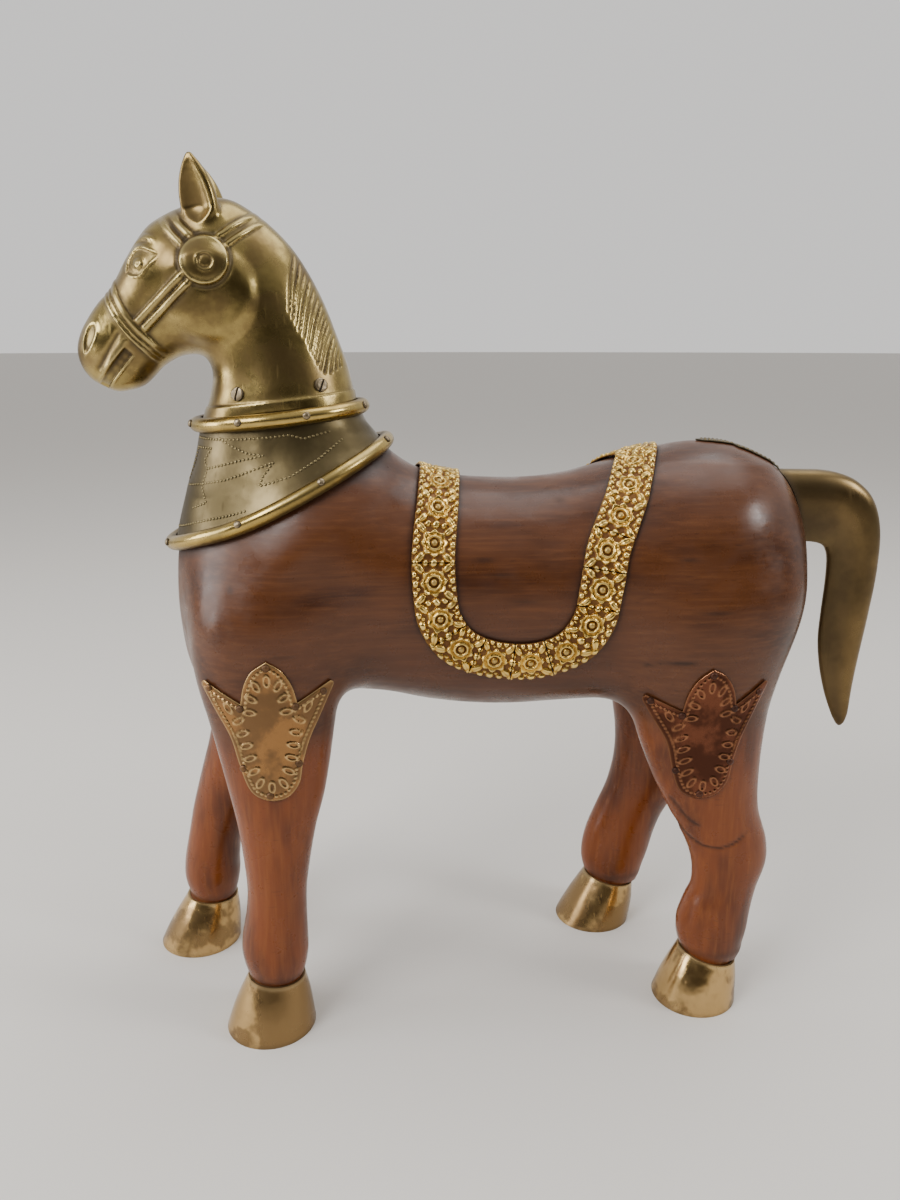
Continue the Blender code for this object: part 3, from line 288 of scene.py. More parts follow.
def sheetFaces(rows, columns, wraps=False):
    # Faces of a sheet whose inner grid of points comes before its outer one: both sides and all edges.
    half = rows * columns
    i, j = np.meshgrid(np.arange(rows - 1), np.arange(columns if wraps else columns - 1), indexing="ij")
    i, j = i.ravel(), j.ravel()
    k = (j + 1) % columns
    quads = np.stack([i * columns + j, i * columns + k, (i + 1) * columns + k, (i + 1) * columns + j], 1)
    faces = [half + quads, quads[:, ::-1]]
    for row, way in ((0, 1), (rows - 1, -1)):
        a = row * columns + np.arange(columns if wraps else columns - 1)
        b = row * columns + (np.arange(len(a)) + 1) % columns
        faces.append(np.stack([a, b, b + half, a + half], 1)[:, ::way])
    if not wraps:
        for column, way in ((0, -1), (columns - 1, 1)):
            a = np.arange(rows - 1) * columns + column
            faces.append(np.stack([a, a + columns, a + columns + half, a + half], 1)[:, ::way])
    return np.vstack(faces)


def squareTo(normal):
    # Two directions square to a normal and to each other.
    normal = normal / np.linalg.norm(normal)
    first = np.cross(normal, (0, 0, 1) if abs(normal[2]) < 0.9 else (1, 0, 0))
    first = first / np.linalg.norm(first)
    return first, np.cross(normal, first), normal


def turned(profile, foot, normal, around):
    # A profile of (radius, height) pairs turned round the normal, closed by its first and last rings.
    first, second, normal = squareTo(np.asarray(normal, float))
    turn = np.linspace(0, 2 * math.pi, around, endpoint=False)
    rings = [
        foot + r * (np.cos(turn)[:, None] * first + np.sin(turn)[:, None] * second) + h * normal
        for r, h in profile
    ]
    faces = tubeQuads(len(profile), around).tolist()
    faces += [list(range(around))[::-1], list(range((len(profile) - 1) * around, len(profile) * around))]
    return np.vstack(rings), faces


# Materials.


def colour(text):
    # Screen colour in hex to the linear values that light adds up in.
    parts = [int(text[i : i + 2], 16) / 255 for i in (1, 3, 5)]
    return (*[c / 12.92 if c <= 0.04045 else ((c + 0.055) / 1.055) ** 2.4 for c in parts], 1)


def addNode(tree, kind, settings=None, links=None):
    # A shader node with its settings and its incoming links, by name or by number.
    made = tree.nodes.new("ShaderNode" + kind)
    for key, value in (settings or {}).items():
        if isinstance(key, str) and hasattr(made, key):
            setattr(made, key, value)
        else:
            made.inputs[key].default_value = value
    for key, source in (links or {}).items():
        tree.links.new(source, made.inputs[key])
    return made


def startMaterial(name):
    # A new material, its tree, its shader, and the Object coordinates that every pattern reads.
    made = bpy.data.materials.new(name)
    made.use_nodes = True
    tree = made.node_tree
    shader = tree.nodes["Principled BSDF"]
    place = addNode(tree, "TexCoord").outputs["Object"]
    return made, tree, shader, place


def stretchedNoise(tree, place, scale, detail=3.0, rough=0.55, stretch=(1, 1, 1), shift=(0, 0, 0)):
    # Noise whose scale is features per metre; a stretch below 1 draws it out along that axis.
    moved = addNode(tree, "Mapping", {"Scale": stretch, "Location": shift}, {"Vector": place})
    settings = {"Scale": scale, "Detail": detail, "Roughness": rough}
    noise = addNode(tree, "TexNoise", settings, {"Vector": moved.outputs[0]})
    return noise.outputs["Fac"]


def ranged(tree, source, low, high, toLow=0.0, toHigh=1.0):
    # Stretches a value's range to another one, held at both ends.
    settings = {"interpolation_type": "SMOOTHSTEP", 1: low, 2: high, 3: toLow, 4: toHigh}
    return addNode(tree, "MapRange", settings, {0: source}).outputs[0]


def mixed(tree, share, a, b, blend="MIX"):
    # Colour a turning to colour b by the share; each is a hex text or another node's output.
    settings, links = {"data_type": "RGBA", "blend_type": blend}, {}
    for key, value in ((0, share), (6, a), (7, b)):
        if isinstance(value, str):
            settings[key] = colour(value)
        elif isinstance(value, (int, float)):
            settings[key] = value
        else:
            links[key] = value
    return addNode(tree, "Mix", settings, links).outputs[2]


def sums(tree, kind, a, b):
    # One sum of two values, each a number or another node's output.
    settings, links = {"operation": kind}, {}
    for key, value in ((0, a), (1, b)):
        if isinstance(value, (int, float)):
            settings[key] = value
        else:
            links[key] = value
    return addNode(tree, "Math", settings, links).outputs[0]


def marked(tree, name):
    # A value kept at each point of the piece.
    return addNode(tree, "Attribute", {"attribute_name": name}).outputs["Fac"]


woodLooks = {
    "trunk": "#54301a", "trunkDark": "#371c0f", "trunkLight": "#744829",
    "leg": "#733915", "legDark": "#4a220d", "legLight": "#8e5326",
    "marksAndShade": "#1d0f09", "roughness": 0.3, "gloss": 0.05, "glossRoughness": 0.22, "shine": 0.32,
}


def woodMaterial():
    # Polished hardwood, stained and waxed by hand: long grain along the trunk and down the legs, darker
    # smoke-like streaks, small dark pores and a thin gloss over it all.
    made, tree, shader, place = startMaterial("polishedWood")
    leg, marksAndShade = marked(tree, "leg"), marked(tree, "marksAndShade")
    # Real grain lines are 0.3 mm apart, which would blur to nothing here: they are drawn 1.5 to 3 mm apart.
    trunkGrain = stretchedNoise(tree, place, 520, 5.0, 0.65, (0.045, 0.5, 1))
    legGrain = stretchedNoise(tree, place, 480, 5.0, 0.65, (1, 1, 0.06))
    trunkCloud = stretchedNoise(tree, place, 34, 3.0, 0.6, (0.35, 0.8, 1))
    legCloud = stretchedNoise(tree, place, 42, 3.0, 0.6, (1, 1, 0.3), (3, 1, 2))
    streak = stretchedNoise(tree, place, 70, 6.0, 0.7, (0.2, 0.6, 1), (1, 5, 2))
    trunk = mixed(tree, ranged(tree, trunkCloud, 0.28, 0.62), woodLooks["trunkDark"], woodLooks["trunk"])
    trunk = mixed(tree, ranged(tree, trunkGrain, 0.4, 0.78, 0.0, 0.4), trunk, woodLooks["trunkLight"])
    trunk = mixed(tree, ranged(tree, streak, 0.58, 0.76, 0.0, 0.6), trunk, woodLooks["trunkDark"])
    legs = mixed(tree, ranged(tree, legCloud, 0.3, 0.6), woodLooks["legDark"], woodLooks["leg"])
    legs = mixed(tree, ranged(tree, legGrain, 0.4, 0.78, 0.0, 0.45), legs, woodLooks["legLight"])
    both = mixed(tree, leg, trunk, legs)
    pores = stretchedNoise(tree, place, 900, 1.0, 0.5, (0.12, 1, 1))
    both = mixed(tree, ranged(tree, pores, 0.68, 0.76, 0.0, 0.25), both, woodLooks["marksAndShade"])
    # The wood is darkened by its own dark marks, and by painted shade along the strap, under the collar, at
    # the hooves' rims and in the gouge lines.
    both = mixed(tree, marksAndShade, both, woodLooks["marksAndShade"])
    tree.links.new(both, shader.inputs["Base Color"])
    wear = stretchedNoise(tree, place, 60, 4.0, 0.6)
    rough = ranged(tree, wear, 0.3, 0.7, woodLooks["roughness"] - 0.07, woodLooks["roughness"] + 0.1)
    tree.links.new(sums(tree, "ADD", rough, sums(tree, "MULTIPLY", marksAndShade, 0.25)), shader.inputs["Roughness"])
    shader.inputs["Specular IOR Level"].default_value = woodLooks["shine"]
    shader.inputs["Coat Weight"].default_value = woodLooks["gloss"]
    shader.inputs["Coat Roughness"].default_value = woodLooks["glossRoughness"]
    dents = stretchedNoise(tree, place, 90, 2.0, 0.5)
    height = sums(tree, "ADD", sums(tree, "MULTIPLY", trunkGrain, 0.25), dents)
    relief = addNode(tree, "Bump", {"Strength": 0.25, "Distance": 0.0006}, {"Height": height})
    tree.links.new(relief.outputs[0], shader.inputs["Normal"])
    return made


def brassMaterial(name, looks):
    # Old brass, cast, stamped or beaten: warm metal with cloudy dull patches and fine scratches, darkened by
    # dirt and painted shade in the hollows and where parts meet, and lightened by rubbed wear and painted
    # highlights on edges and crowns. The nails and screws are dark iron, made the same way from other
    # colours.
    made, tree, shader, place = startMaterial(name)
    hollow, edge = marked(tree, "hollow"), marked(tree, "edge")
    cloud = stretchedNoise(tree, place, looks["cloud"], 4.0, 0.6)
    fine = stretchedNoise(tree, place, looks["cloud"] * 7, 3.0, 0.6, (1, 1, 1), (2, 4, 1))
    patches = ranged(tree, cloud, 0.5 - looks["blend"], 0.5 + looks["blend"])
    body = mixed(tree, patches, looks["dull"], looks["metal"])
    body = mixed(tree, ranged(tree, fine, 0.5, 0.8, 0.0, 0.35), body, looks["dull"])
    # Lightened towards the bright colour by the edge mark: rubbed wear and painted highlights.
    body = mixed(tree, sums(tree, "MULTIPLY", edge, looks["wearAndHighlight"]), body, looks["bright"])
    # Darkened towards the dark colour by the hollow mark: dirt and painted shade.
    dirt = sums(tree, "MULTIPLY", hollow, looks["dirt"])
    body = mixed(tree, dirt, body, looks["dark"])
    tree.links.new(body, shader.inputs["Base Color"])
    metal = sums(tree, "SUBTRACT", 1.0, sums(tree, "MULTIPLY", dirt, 0.55))
    tree.links.new(metal, shader.inputs["Metallic"])
    # Real scratches are under 0.1 mm wide: they are drawn about 0.5 mm wide.
    scratch = stretchedNoise(tree, place, 420, 2.0, 0.5, (1, 1, 0.09), (7, 3, 1))
    rough = ranged(tree, cloud, 0.35, 0.7, looks["rough"] + 0.1, looks["rough"] - 0.06)
    rough = sums(tree, "ADD", rough, ranged(tree, scratch, 0.6, 0.75, 0.0, 0.12))
    rough = sums(tree, "ADD", rough, sums(tree, "MULTIPLY", dirt, 0.3))
    tree.links.new(rough, shader.inputs["Roughness"])
    wave = stretchedNoise(tree, place, looks["cloud"] * 3, 2.0, 0.5, (1, 1, 1), (5, 1, 8))
    height = sums(tree, "ADD", wave, sums(tree, "MULTIPLY", scratch, 0.08))
    relief = addNode(tree, "Bump", {"Strength": 0.3, "Distance": looks["dent"]}, {"Height": height})
    tree.links.new(relief.outputs[0], shader.inputs["Normal"])
    return made


castLooks = {
    "metal": "#a08c55", "dull": "#776440", "bright": "#d8c588", "dark": "#2c2115",
    "cloud": 42, "rough": 0.23, "wearAndHighlight": 0.4, "dirt": 0.75, "blend": 0.15, "dent": 0.0006,
}
barLooks = {
    "metal": "#b3954c", "dull": "#806a38", "bright": "#e2cd8c", "dark": "#2f2412",
    "cloud": 60, "rough": 0.22, "wearAndHighlight": 0.45, "dirt": 0.75, "blend": 0.15, "dent": 0.0004,
}
collarLooks = {
    "metal": "#65593f", "dull": "#4e442e", "bright": "#988962", "dark": "#282116",
    "cloud": 30, "rough": 0.33, "wearAndHighlight": 0.45, "dirt": 0.75, "blend": 0.15, "dent": 0.0008,
}
plateLooks = {
    "metal": "#956d44", "dull": "#74583c", "bright": "#e0bd82", "dark": "#3a2214",
    "cloud": 50, "rough": 0.25, "wearAndHighlight": 0.6, "dirt": 0.8, "blend": 0.07, "dent": 0.0006,
}
hoofLooks = {
    "metal": "#c3a26d", "dull": "#8f744e", "bright": "#ead8a6", "dark": "#453624",
    "cloud": 26, "rough": 0.2, "wearAndHighlight": 0.3, "dirt": 0.7, "blend": 0.03, "dent": 0.0009,
}
# The tail's dark bronze, made darker still by painted shade.
tailShadedLooks = {
    "metal": "#6f5b3c", "dull": "#54452f", "bright": "#b59c68", "dark": "#2c2115",
    "cloud": 22, "rough": 0.3, "wearAndHighlight": 0.5, "dirt": 0.8, "blend": 0.15, "dent": 0.0005,
}
copperLooks = {
    "metal": "#683f2e", "dull": "#482b20", "bright": "#a97653", "dark": "#2e170d",
    "cloud": 50, "rough": 0.25, "wearAndHighlight": 0.6, "dirt": 0.8, "blend": 0.08, "dent": 0.0006,
}
stampLooks = {
    "metal": "#cf9f3e", "dull": "#9a722b", "bright": "#f6da88", "dark": "#532a12",
    "cloud": 70, "rough": 0.2, "wearAndHighlight": 0.7, "dirt": 0.85, "blend": 0.15, "dent": 0.0003,
}
ironLooks = {
    "metal": "#83745c", "dull": "#544835", "bright": "#b5a588", "dark": "#241b12",
    "cloud": 300, "rough": 0.36, "wearAndHighlight": 0.5, "dirt": 0.8, "blend": 0.12, "dent": 0.0002,
}
wood = woodMaterial()
castBrass = brassMaterial("castBrass", castLooks)
barBrass = brassMaterial("barBrass", barLooks)
collarBrass = brassMaterial("collarBrass", collarLooks)
plateBrass = brassMaterial("plateBrass", plateLooks)
hoofBrass = brassMaterial("hoofBrass", hoofLooks)
stampBrass = brassMaterial("stampedBrass", stampLooks)
tailBrassShaded = brassMaterial("tailBrassShaded", tailShadedLooks)
plateCopper = brassMaterial("coppery", copperLooks)
iron = brassMaterial("darkIron", ironLooks)
print("materials made")


# Wood: trunk, neck stub and legs, in one field.

trunkSizes = {"rounding": 58.0, "neckRounding": 38.0, "neckHalf": 31.0, "legBlend": 15.0, "ease": 1.3}
trunkOutline = [
    (-118, 176), (-128, 184), (-134, 200), (-136.5, 222), (-136.5, 240), (-135, 256), (-131.5, 272),
    (-127, 288), (-122.5, 302), (-119, 316), (-114, 334), (-100, 350), (-70, 356), (-50, 348),
    (-44, 332), (-39.5, 321), (-31.5, 311), (-20, 301), (-8, 295), (10, 291.5), (40, 290), (64, 292),
    (85, 297), (108, 303.5), (132, 308), (154, 307), (172, 300), (185, 289), (193.5, 273),
    (198.5, 254), (200, 232), (197.5, 211), (189, 191), (177, 172), (162, 160), (140, 160),
    (114, 165), (90, 168.5), (64, 168), (40, 167), (16, 168), (-8, 171.5), (-32, 177), (-60, 179), (-90, 176),
]
trunkWidth = [
    (-140, 42), (-112, 53), (-80, 55), (-40, 52), (10, 50), (60, 52), (105, 57), (145, 57), (200, 48),
]
lowerBar, upperBar, barSag = (322.5, 0.468), (331.5, 0.108), 4.5
# Each row: height, front, back, how far the leg's middle is inside the hoof track, half width.
legSections = {
    "left_front": [
        (275, -102, -78, 26, 5), (254, -113, -66, 17, 15), (230, -122, -57, 9, 22),
        (198, -124, -54, 6, 22.5), (166, -118, -58, 4, 20.5), (137, -112, -63, 2, 18.5),
        (114, -108, -69, 1, 17), (86, -105.5, -74, 0, 15.5), (70, -106.5, -75, 0, 15.8),
        (57, -109, -75, 0, 16.8), (47, -110, -75, 0, 17.2), (41, -109.3, -75.8, 0, 16.6),
        (38, -108.6, -76.4, 0, 16), (35, -107.8, -77.2, 0, 15.2), (32, -106.8, -78.2, 0, 14.2),
    ],
    "right_front": [
        (275, -102, -78, 26, 5), (254, -113, -66, 17, 15), (230, -122, -58, 9, 22),
        (198, -125, -61, 6, 22.5), (166, -127, -71, 4, 20.5), (137, -132, -83, 2, 18.5),
        (112, -139, -97, 1, 17), (90, -145, -109, 0, 15.5), (71, -149, -117, 0, 15.8),
        (57, -152, -119.5, 0, 16.8), (47, -153, -120, 0, 17.2), (41, -152.5, -121, 0, 16.6),
        (38, -151.8, -121.6, 0, 16), (35, -151, -122.4, 0, 15.2), (32, -150.1, -123.4, 0, 14.2),
    ],
    "left_hind": [
        (288, 134, 154, 28, 5), (262, 112, 174, 18, 16), (244, 101, 182, 12, 23), (225, 96, 184, 9, 26.5),
        (190, 96, 175.5, 7, 25), (162, 101, 171, 5, 21.5), (135, 111, 169, 3, 18.8),
        (115, 121, 170, 2, 17.2), (97, 130.5, 175.5, 1, 16), (84, 135, 176, 0, 15.2),
        (70, 136, 172, 0, 14.8), (60, 132.5, 169.5, 0, 15.6), (50, 129.3, 168, 0, 16.4),
        (43, 129, 166.5, 0, 16.4), (38, 129.6, 165.8, 0, 16), (34, 130.8, 164.3, 0, 15),
        (30, 132.3, 162.8, 0, 14),
    ],
    "right_hind": [
        (288, 134, 154, 28, 5), (262, 112, 174, 18, 16), (244, 101, 182, 12, 23), (225, 97, 184, 9, 26.5),
        (190, 99, 175, 7, 25), (158, 107, 172, 5, 21.5), (130, 112, 168, 3, 18.8), (110, 112, 166, 2, 17.2),
        (92, 108.5, 158, 1, 16), (77, 103, 148, 0, 15.2), (63, 97.5, 141, 0, 15.2), (52, 95, 137, 0, 16),
        (43, 94.5, 133.8, 0, 16.4), (38, 95.2, 132.5, 0, 16), (34, 96.3, 131, 0, 15),
        (30, 97.8, 129.5, 0, 14),
    ],
}
# Each hoof: its middle at the sole and at the rim, half length at the rim, and how far the rim drops at
# the back.
hoofPlaces = {
    "left_front": (-96.5, -92.7, 14.8, 1.5), "right_front": (-146, -137.5, 14.8, 1.5),
    "left_hind": (140.8, 146.5, 15.2, 7.0), "right_hind": (102.5, 112.5, 15.2, 6.0),
}
hoofSizes = {
    "height": 31.0, "wall": 1.2, "slip": 0.7, "rimFit": 0.15, "front": 23.8, "hind": 23.0, "track": 42.0,
    "coreLift": 0.8, "swell": 0.9, "narrower": 0.6,
}
woodSizes = {
    "cell": 1.86, "lowCell": 1.3, "lowTop": 112.0, "lineDepth": 0.55, "lineHalf": 0.8,
    # Each mark: its place in the side view, half length and half height.
    "marks": [
        (18.3, 256.2, 5.0, 1.0), (25.4, 249.1, 7.0, 0.9), (38, 236, 9.0, 0.7), (58.5, 282.2, 2.5, 1.2),
        (-104.3, 245.3, 1.6, 2.4), (117.5, 256.4, 4.0, 1.0), (132, 230, 8.0, 0.8), (-80, 214, 6.0, 0.8),
    ],
}
# Lines that a gouge left round the near hock and on the thigh, in the side view.
gougeLines = [
    [(121, 113), (126, 106), (134, 99.5), (143, 98), (152, 101.5), (160, 107.5)],
    [(117, 127), (122, 121), (128, 114), (134, 110.5)],
    [(96, 202.5), (110, 203.5), (126, 205)],
]

legCurves = {name: spline(rows, 120)[::-1] for name, rows in legSections.items()}
trunkDepth = depthMap(spline(trunkOutline, 180, closed=True), 9.0)
trunkWidthCurve = spline(trunkWidth, 80)


def planeHeight(plane, x):
    # Height of a tilted plane at x: its height at 0 plus its slope times x.
    return plane[0] + plane[1] * x


def hoofRadii(name, z):
    # Middle, half length and half width of a hoof's outer face: a straight taper plus a sine swell.
    sole, top, halfTop, _ = hoofPlaces[name]
    radius = hoofSizes["front"] if "front" in name else hoofSizes["hind"]
    t = np.clip(z / hoofSizes["height"], 0, 1.3)
    grown = radius + hoofSizes["swell"] * np.sin(math.pi * np.clip(t, 0, 1))
    halfWidth = halfTop - hoofSizes["narrower"]
    return sole + (top - sole) * t, grown + (halfTop - radius) * t, grown + (halfWidth - radius) * t


def trunkField(x, y, z):
    # The side outline rolled out sideways: half width and rounding change smoothly from the trunk's to the
    # neck's between the planes of the two bars.
    low, high = planeHeight(lowerBar, x), planeHeight(upperBar, x)
    up = smoothStep(-0.9, 1.0, (z - low) / np.maximum(high - low, 12.0)) * smoothStep(10, -40, x)
    half = np.interp(x, trunkWidthCurve[:, 0], trunkWidthCurve[:, 1])
    half = half + (trunkSizes["neckHalf"] - half) * up
    rounding = trunkSizes["rounding"] + (trunkSizes["neckRounding"] - trunkSizes["rounding"]) * up
    return pillow(trunkDepth(x, z), y, rounding, half)


def legField(name, x, y, z):
    # An ellipse at each height, turning into the hoof's core below its rim.
    side = -1 if "left" in name else 1
    rows = legCurves[name]
    coreMiddle, coreLength, coreWidth = hoofRadii(name, z)
    # The rim drops towards the back as (1 + cos) / 2, and the wood just above follows it.
    drop = hoofPlaces[name][3] * (1 + np.clip((x - coreMiddle) / coreLength, -1, 1)) / 2
    lifted = z + drop * smoothStep(72, 40, z)
    front, back, inset, width = [np.interp(lifted, rows[:, 0], rows[:, i]) for i in (1, 2, 3, 4)]
    middle, length = (front + back) / 2, (back - front) / 2
    rim = hoofSizes["height"]
    slip = hoofSizes["wall"] + hoofSizes["rimFit"] + hoofSizes["slip"] * smoothStep(rim - 2, rim - 8, z)
    inside = 1 - smoothStep(rim - 0.6, rim + 2.0, z + drop)
    middle = middle + (coreMiddle - middle) * inside
    length = length + (coreLength - slip - length) * inside
    width = width + (coreWidth - slip - width) * inside
    across = hoofSizes["track"] - inset * (1 - inside)
    ring = np.sqrt(((x - middle) / length) ** 2 + ((y - side * across) / width) ** 2) - 1
    field = ring * np.minimum(length, width)
    return np.maximum(np.maximum(field, hoofSizes["coreLift"] - z), z - legSections[name][0][0])


def skinField(x, y, z):
    # Trunk and legs in one soft union, which is softer further up the leg.
    field = trunkField(x, y, z)
    for name in legSections:
        softness = trunkSizes["legBlend"] * smoothStep(90, 150, z) + 0.5
        field = softUnion(field, legField(name, x, y, z), softness)
    return field


def woodField(x, y, z):
    # The skin, slimmer under the collar, and cut off at the upper bar's plane.
    top = (z - planeHeight(upperBar, x)) / math.hypot(1, upperBar[1])
    slim = trunkSizes["ease"] * smoothStep(-3, 4, z - planeHeight(lowerBar, x)) * smoothStep(-30, -42, x)
    return np.maximum(skinField(x, y, z) + slim, top)


def strapLoop(strap, count):
    # The strap's middle line round both flanks and over the back, on the wood, evenly spaced, with its
    # normals.
    side = spline(strap["path"], 120)
    flank = np.stack([side[:, 0], np.zeros(len(side)), side[:, 1]], 1)
    flank = castOut(trunkField, flank, np.array([0.0, -1.0, 0.0]), 80)
    ridgeHeight = 236.0  # the rays over the back fan out from this height
    parts = []
    for end, ridgeX in zip((flank[0], flank[-1]), strap["overBack"]):
        full = math.atan2(-end[1], end[2] - ridgeHeight)
        share = np.linspace(0, 1, 24, endpoint=False)
        turn = share * full
        start = np.stack([ridgeX + (end[0] - ridgeX) * share, 0 * share, ridgeHeight + 0 * share], 1)
        way = np.stack([0 * turn, -np.sin(turn), np.cos(turn)], 1)
        parts.append(castOut(trunkField, start, way, 90))
    left = np.vstack([parts[0], flank, parts[1][::-1]])
    loop = np.vstack([left, (left * (1, -1, 1))[::-1][1:-1]])
    loop = np.vstack([loop, loop[:1]])
    length = np.concatenate([[0], np.cumsum(np.linalg.norm(np.diff(loop, axis=0), axis=1))])
    at = np.linspace(0, length[-1], count, endpoint=False)
    even = np.stack([np.interp(at, length, loop[:, i]) for i in range(3)], 1)
    return settle(woodField, even, rounds=3)


strapSizes = {
    "width": 21.5, "tile": 18.6, "clearance": 1.3, "cut": 0.6, "backTiles": 7,
    "lengths": [2, 1, 1, 1, 2, 1, 1], "along": 56, "across": 56, "base": 0.5, "overBack": (0.0, 105.5),
    "path": [
        (-3.4, 284), (-6.0, 270), (-7.4, 256), (-6.8, 241), (-4.2, 227), (5.0, 213.8), (22, 206), (43, 204.6),
        (61, 211), (71.5, 225), (75, 242), (78.6, 260), (85, 274), (90.5, 284),
    ],
}
strapTiles = 2 * (sum(strapSizes["lengths"]) + strapSizes["backTiles"])


def makeWood():
    # The wood's field as one mesh, with gouge lines cut along the normals, and two marks on its points:
    # how far it is leg wood, and how much it is darkened by its own dark marks and by painted shade.
    low, high = (-179.0, -70.0, -2.0), (204.0, 70.0, 338.0)
    fine, coarse, border = woodSizes["lowCell"], woodSizes["cell"], woodSizes["lowTop"]
    axes = [np.arange(low[i], high[i], coarse) for i in (0, 1)]
    # The cells are finer over the shanks and fetlocks.
    stretches = ((low[2], 30, coarse), (30, border, fine), (border, high[2], coarse))
    axes.append(np.concatenate([np.arange(*stretch) for stretch in stretches]))
    points, faces = fieldSurface(woodField, axes)
    points, normals = settle(woodField, points, rounds=2)
    x, y, z = points.T
    cut = np.zeros(len(points))
    for line in gougeLines:
        away, along, _ = lineDistance(x, z, spline(line, 40))
        ends = smoothStep(0, 0.12, along) * smoothStep(1, 0.88, along)
        cut = np.maximum(cut, bump(away, woodSizes["lineHalf"]) * ends * (y < -30))
    points = points - normals * (cut * woodSizes["lineDepth"])[:, None]
    # Painted shade: darker along the strap, under the collar, at the hooves' rims and in the gouge lines.
    loop, _ = strapLoop(strapSizes, 240)
    near = np.full(len(points), 1e9)
    for spot in loop:
        near = np.minimum(near, np.linalg.norm(points - spot, axis=1))
    marksAndShade = 0.55 * bump(np.maximum(near - strapSizes["width"] / 2, 0), 1.3)
    collarGap = z - planeHeight(lowerBar, x) + barSag * 0.5
    marksAndShade = np.maximum(marksAndShade, 0.6 * smoothStep(-7.5, -3.0, collarGap) * (x < -25))
    marksAndShade = np.maximum(marksAndShade, 0.35 * bump(z - 33, 2.5))
    marksAndShade = np.maximum(marksAndShade, 0.8 * cut)
    for kx, kz, long, tall in woodSizes["marks"]:
        marksAndShade = np.maximum(marksAndShade, 0.6 * bump(np.hypot((x - kx) / long, (z - kz) / tall), 1.0) * (y < -20))
    leg = smoothStep(205, 150, z) * smoothStep(0.0, 1.0, (178 - z) / 20)
    leg = np.maximum(leg, smoothStep(168, 150, z))
    addPiece("woodBody", points, faces, wood, ["wood_body"], {"leg": leg, "marksAndShade": marksAndShade}, turn=False)
    print("wood made:", len(faces), "quads")


makeWood()


# Brass casting of the head and neck.

headOutline = [
    (-41.5, 318), (-43, 334), (-46, 348), (-50.5, 361), (-56.5, 377), (-63.5, 391), (-71, 402.5),
    (-80, 412), (-90, 419.5), (-100, 424.5), (-112, 425), (-122, 421), (-130, 417.5), (-138, 412.5),
    (-144.5, 405), (-150, 397), (-154.5, 389.5), (-158.5, 383), (-164, 378), (-169.5, 371), (-174, 363.5),
    (-176.3, 355.5), (-175, 347.5), (-171, 341.5), (-165.5, 338), (-159.5, 335.5), (-153, 336),
    (-146, 338.3), (-141, 342.5), (-136.5, 347), (-131, 350.6), (-125, 352.8), (-118, 352.8),
    (-114, 349.5), (-112.5, 343), (-114.5, 333), (-118.5, 320), (-121.5, 306), (-80, 300), (-38, 306),
]
muzzleTip = (-172.0, 346.0)
headWidth = [(0, 14), (12, 16.8), (26, 17.6), (40, 20), (54, 23.5), (70, 25), (90, 25), (120, 25)]
neckOverWood = [(300, 1.5), (322, 0.3), (334, -1.4), (350, -3.5), (372, -5.0), (430, -6.0)]
headSizes = {
    "cell": 0.76, "longestStep": 0.35, "rounding": 21.0, "flare": 0.7, "gap": 0.4,
    "cheek": ((-110.5, 381.0), 25.5, 3.4), "boss": ((-110.0, 395.5), 11.8, 3.2),
    "bossEye": ((-109.3, 394.8), 3.3),
}
bridle = {
    # Middle line, how far its rails lie to each side, their half widths, their height, and the share of
    # the line beyond which they sink away.
    "noseband": (
        [(-160.5, 390), (-154, 376), (-148, 366.5), (-140.5, 358), (-133, 350.5)],
        (-2.9, -0.8, 2.1), (1.1, 1.1, 2.0), 1.9, 0.78,
    ),
    "cheekPiece": ([(-143.5, 365), (-118, 388)], (-2.15, 2.15), (2.15, 2.15), 2.1, 0.99),
    "browBand": (
        [(-115, 400.5), (-123.5, 409.5), (-130.5, 418.5)],
        (-3.0, 2.6), (2.0, 1.8), 1.8, 0.55,
    ),
    "crownPiece": (
        [(-105, 402), (-97, 408), (-89, 413.5), (-80, 419.5)],
        (-2.7, 2.5), (1.6, 1.6), 1.6, 0.4,
    ),
}
eye = {"centre": (-141.0, 394.0), "ball": 3.3}
mane = {
    "strokes": 15, "depth": 1.2, "half": 0.72,
    "foot": [
        (-72.9, 371.3), (-70.5, 367), (-68.4, 362.6), (-65.2, 358.5), (-63.6, 353.6), (-61.8, 350.8),
        (-60.3, 347), (-57.6, 343.6), (-53, 344), (-49.5, 346.5),
    ],
    "crest": [
        (-70.2, 400), (-66.2, 394.5), (-62.8, 388.5), (-59.6, 383), (-57, 378), (-55, 374), (-53.2, 370),
        (-51.4, 365.5), (-49.8, 361), (-48.4, 357),
    ],
}
ear = {
    "root": (-110.0, 12.5, 406.0), "tip": (-115.5, 17.5, 442.5), "half": 9.0, "wall": 1.7, "scoop": 0.68,
    "shape": [
        (-0.35, 0.5), (0.0, 0.8), (0.25, 1.0), (0.5, 0.98), (0.7, 0.8), (0.85, 0.52), (0.95, 0.25),
        (1.02, 0.06),
    ],
}


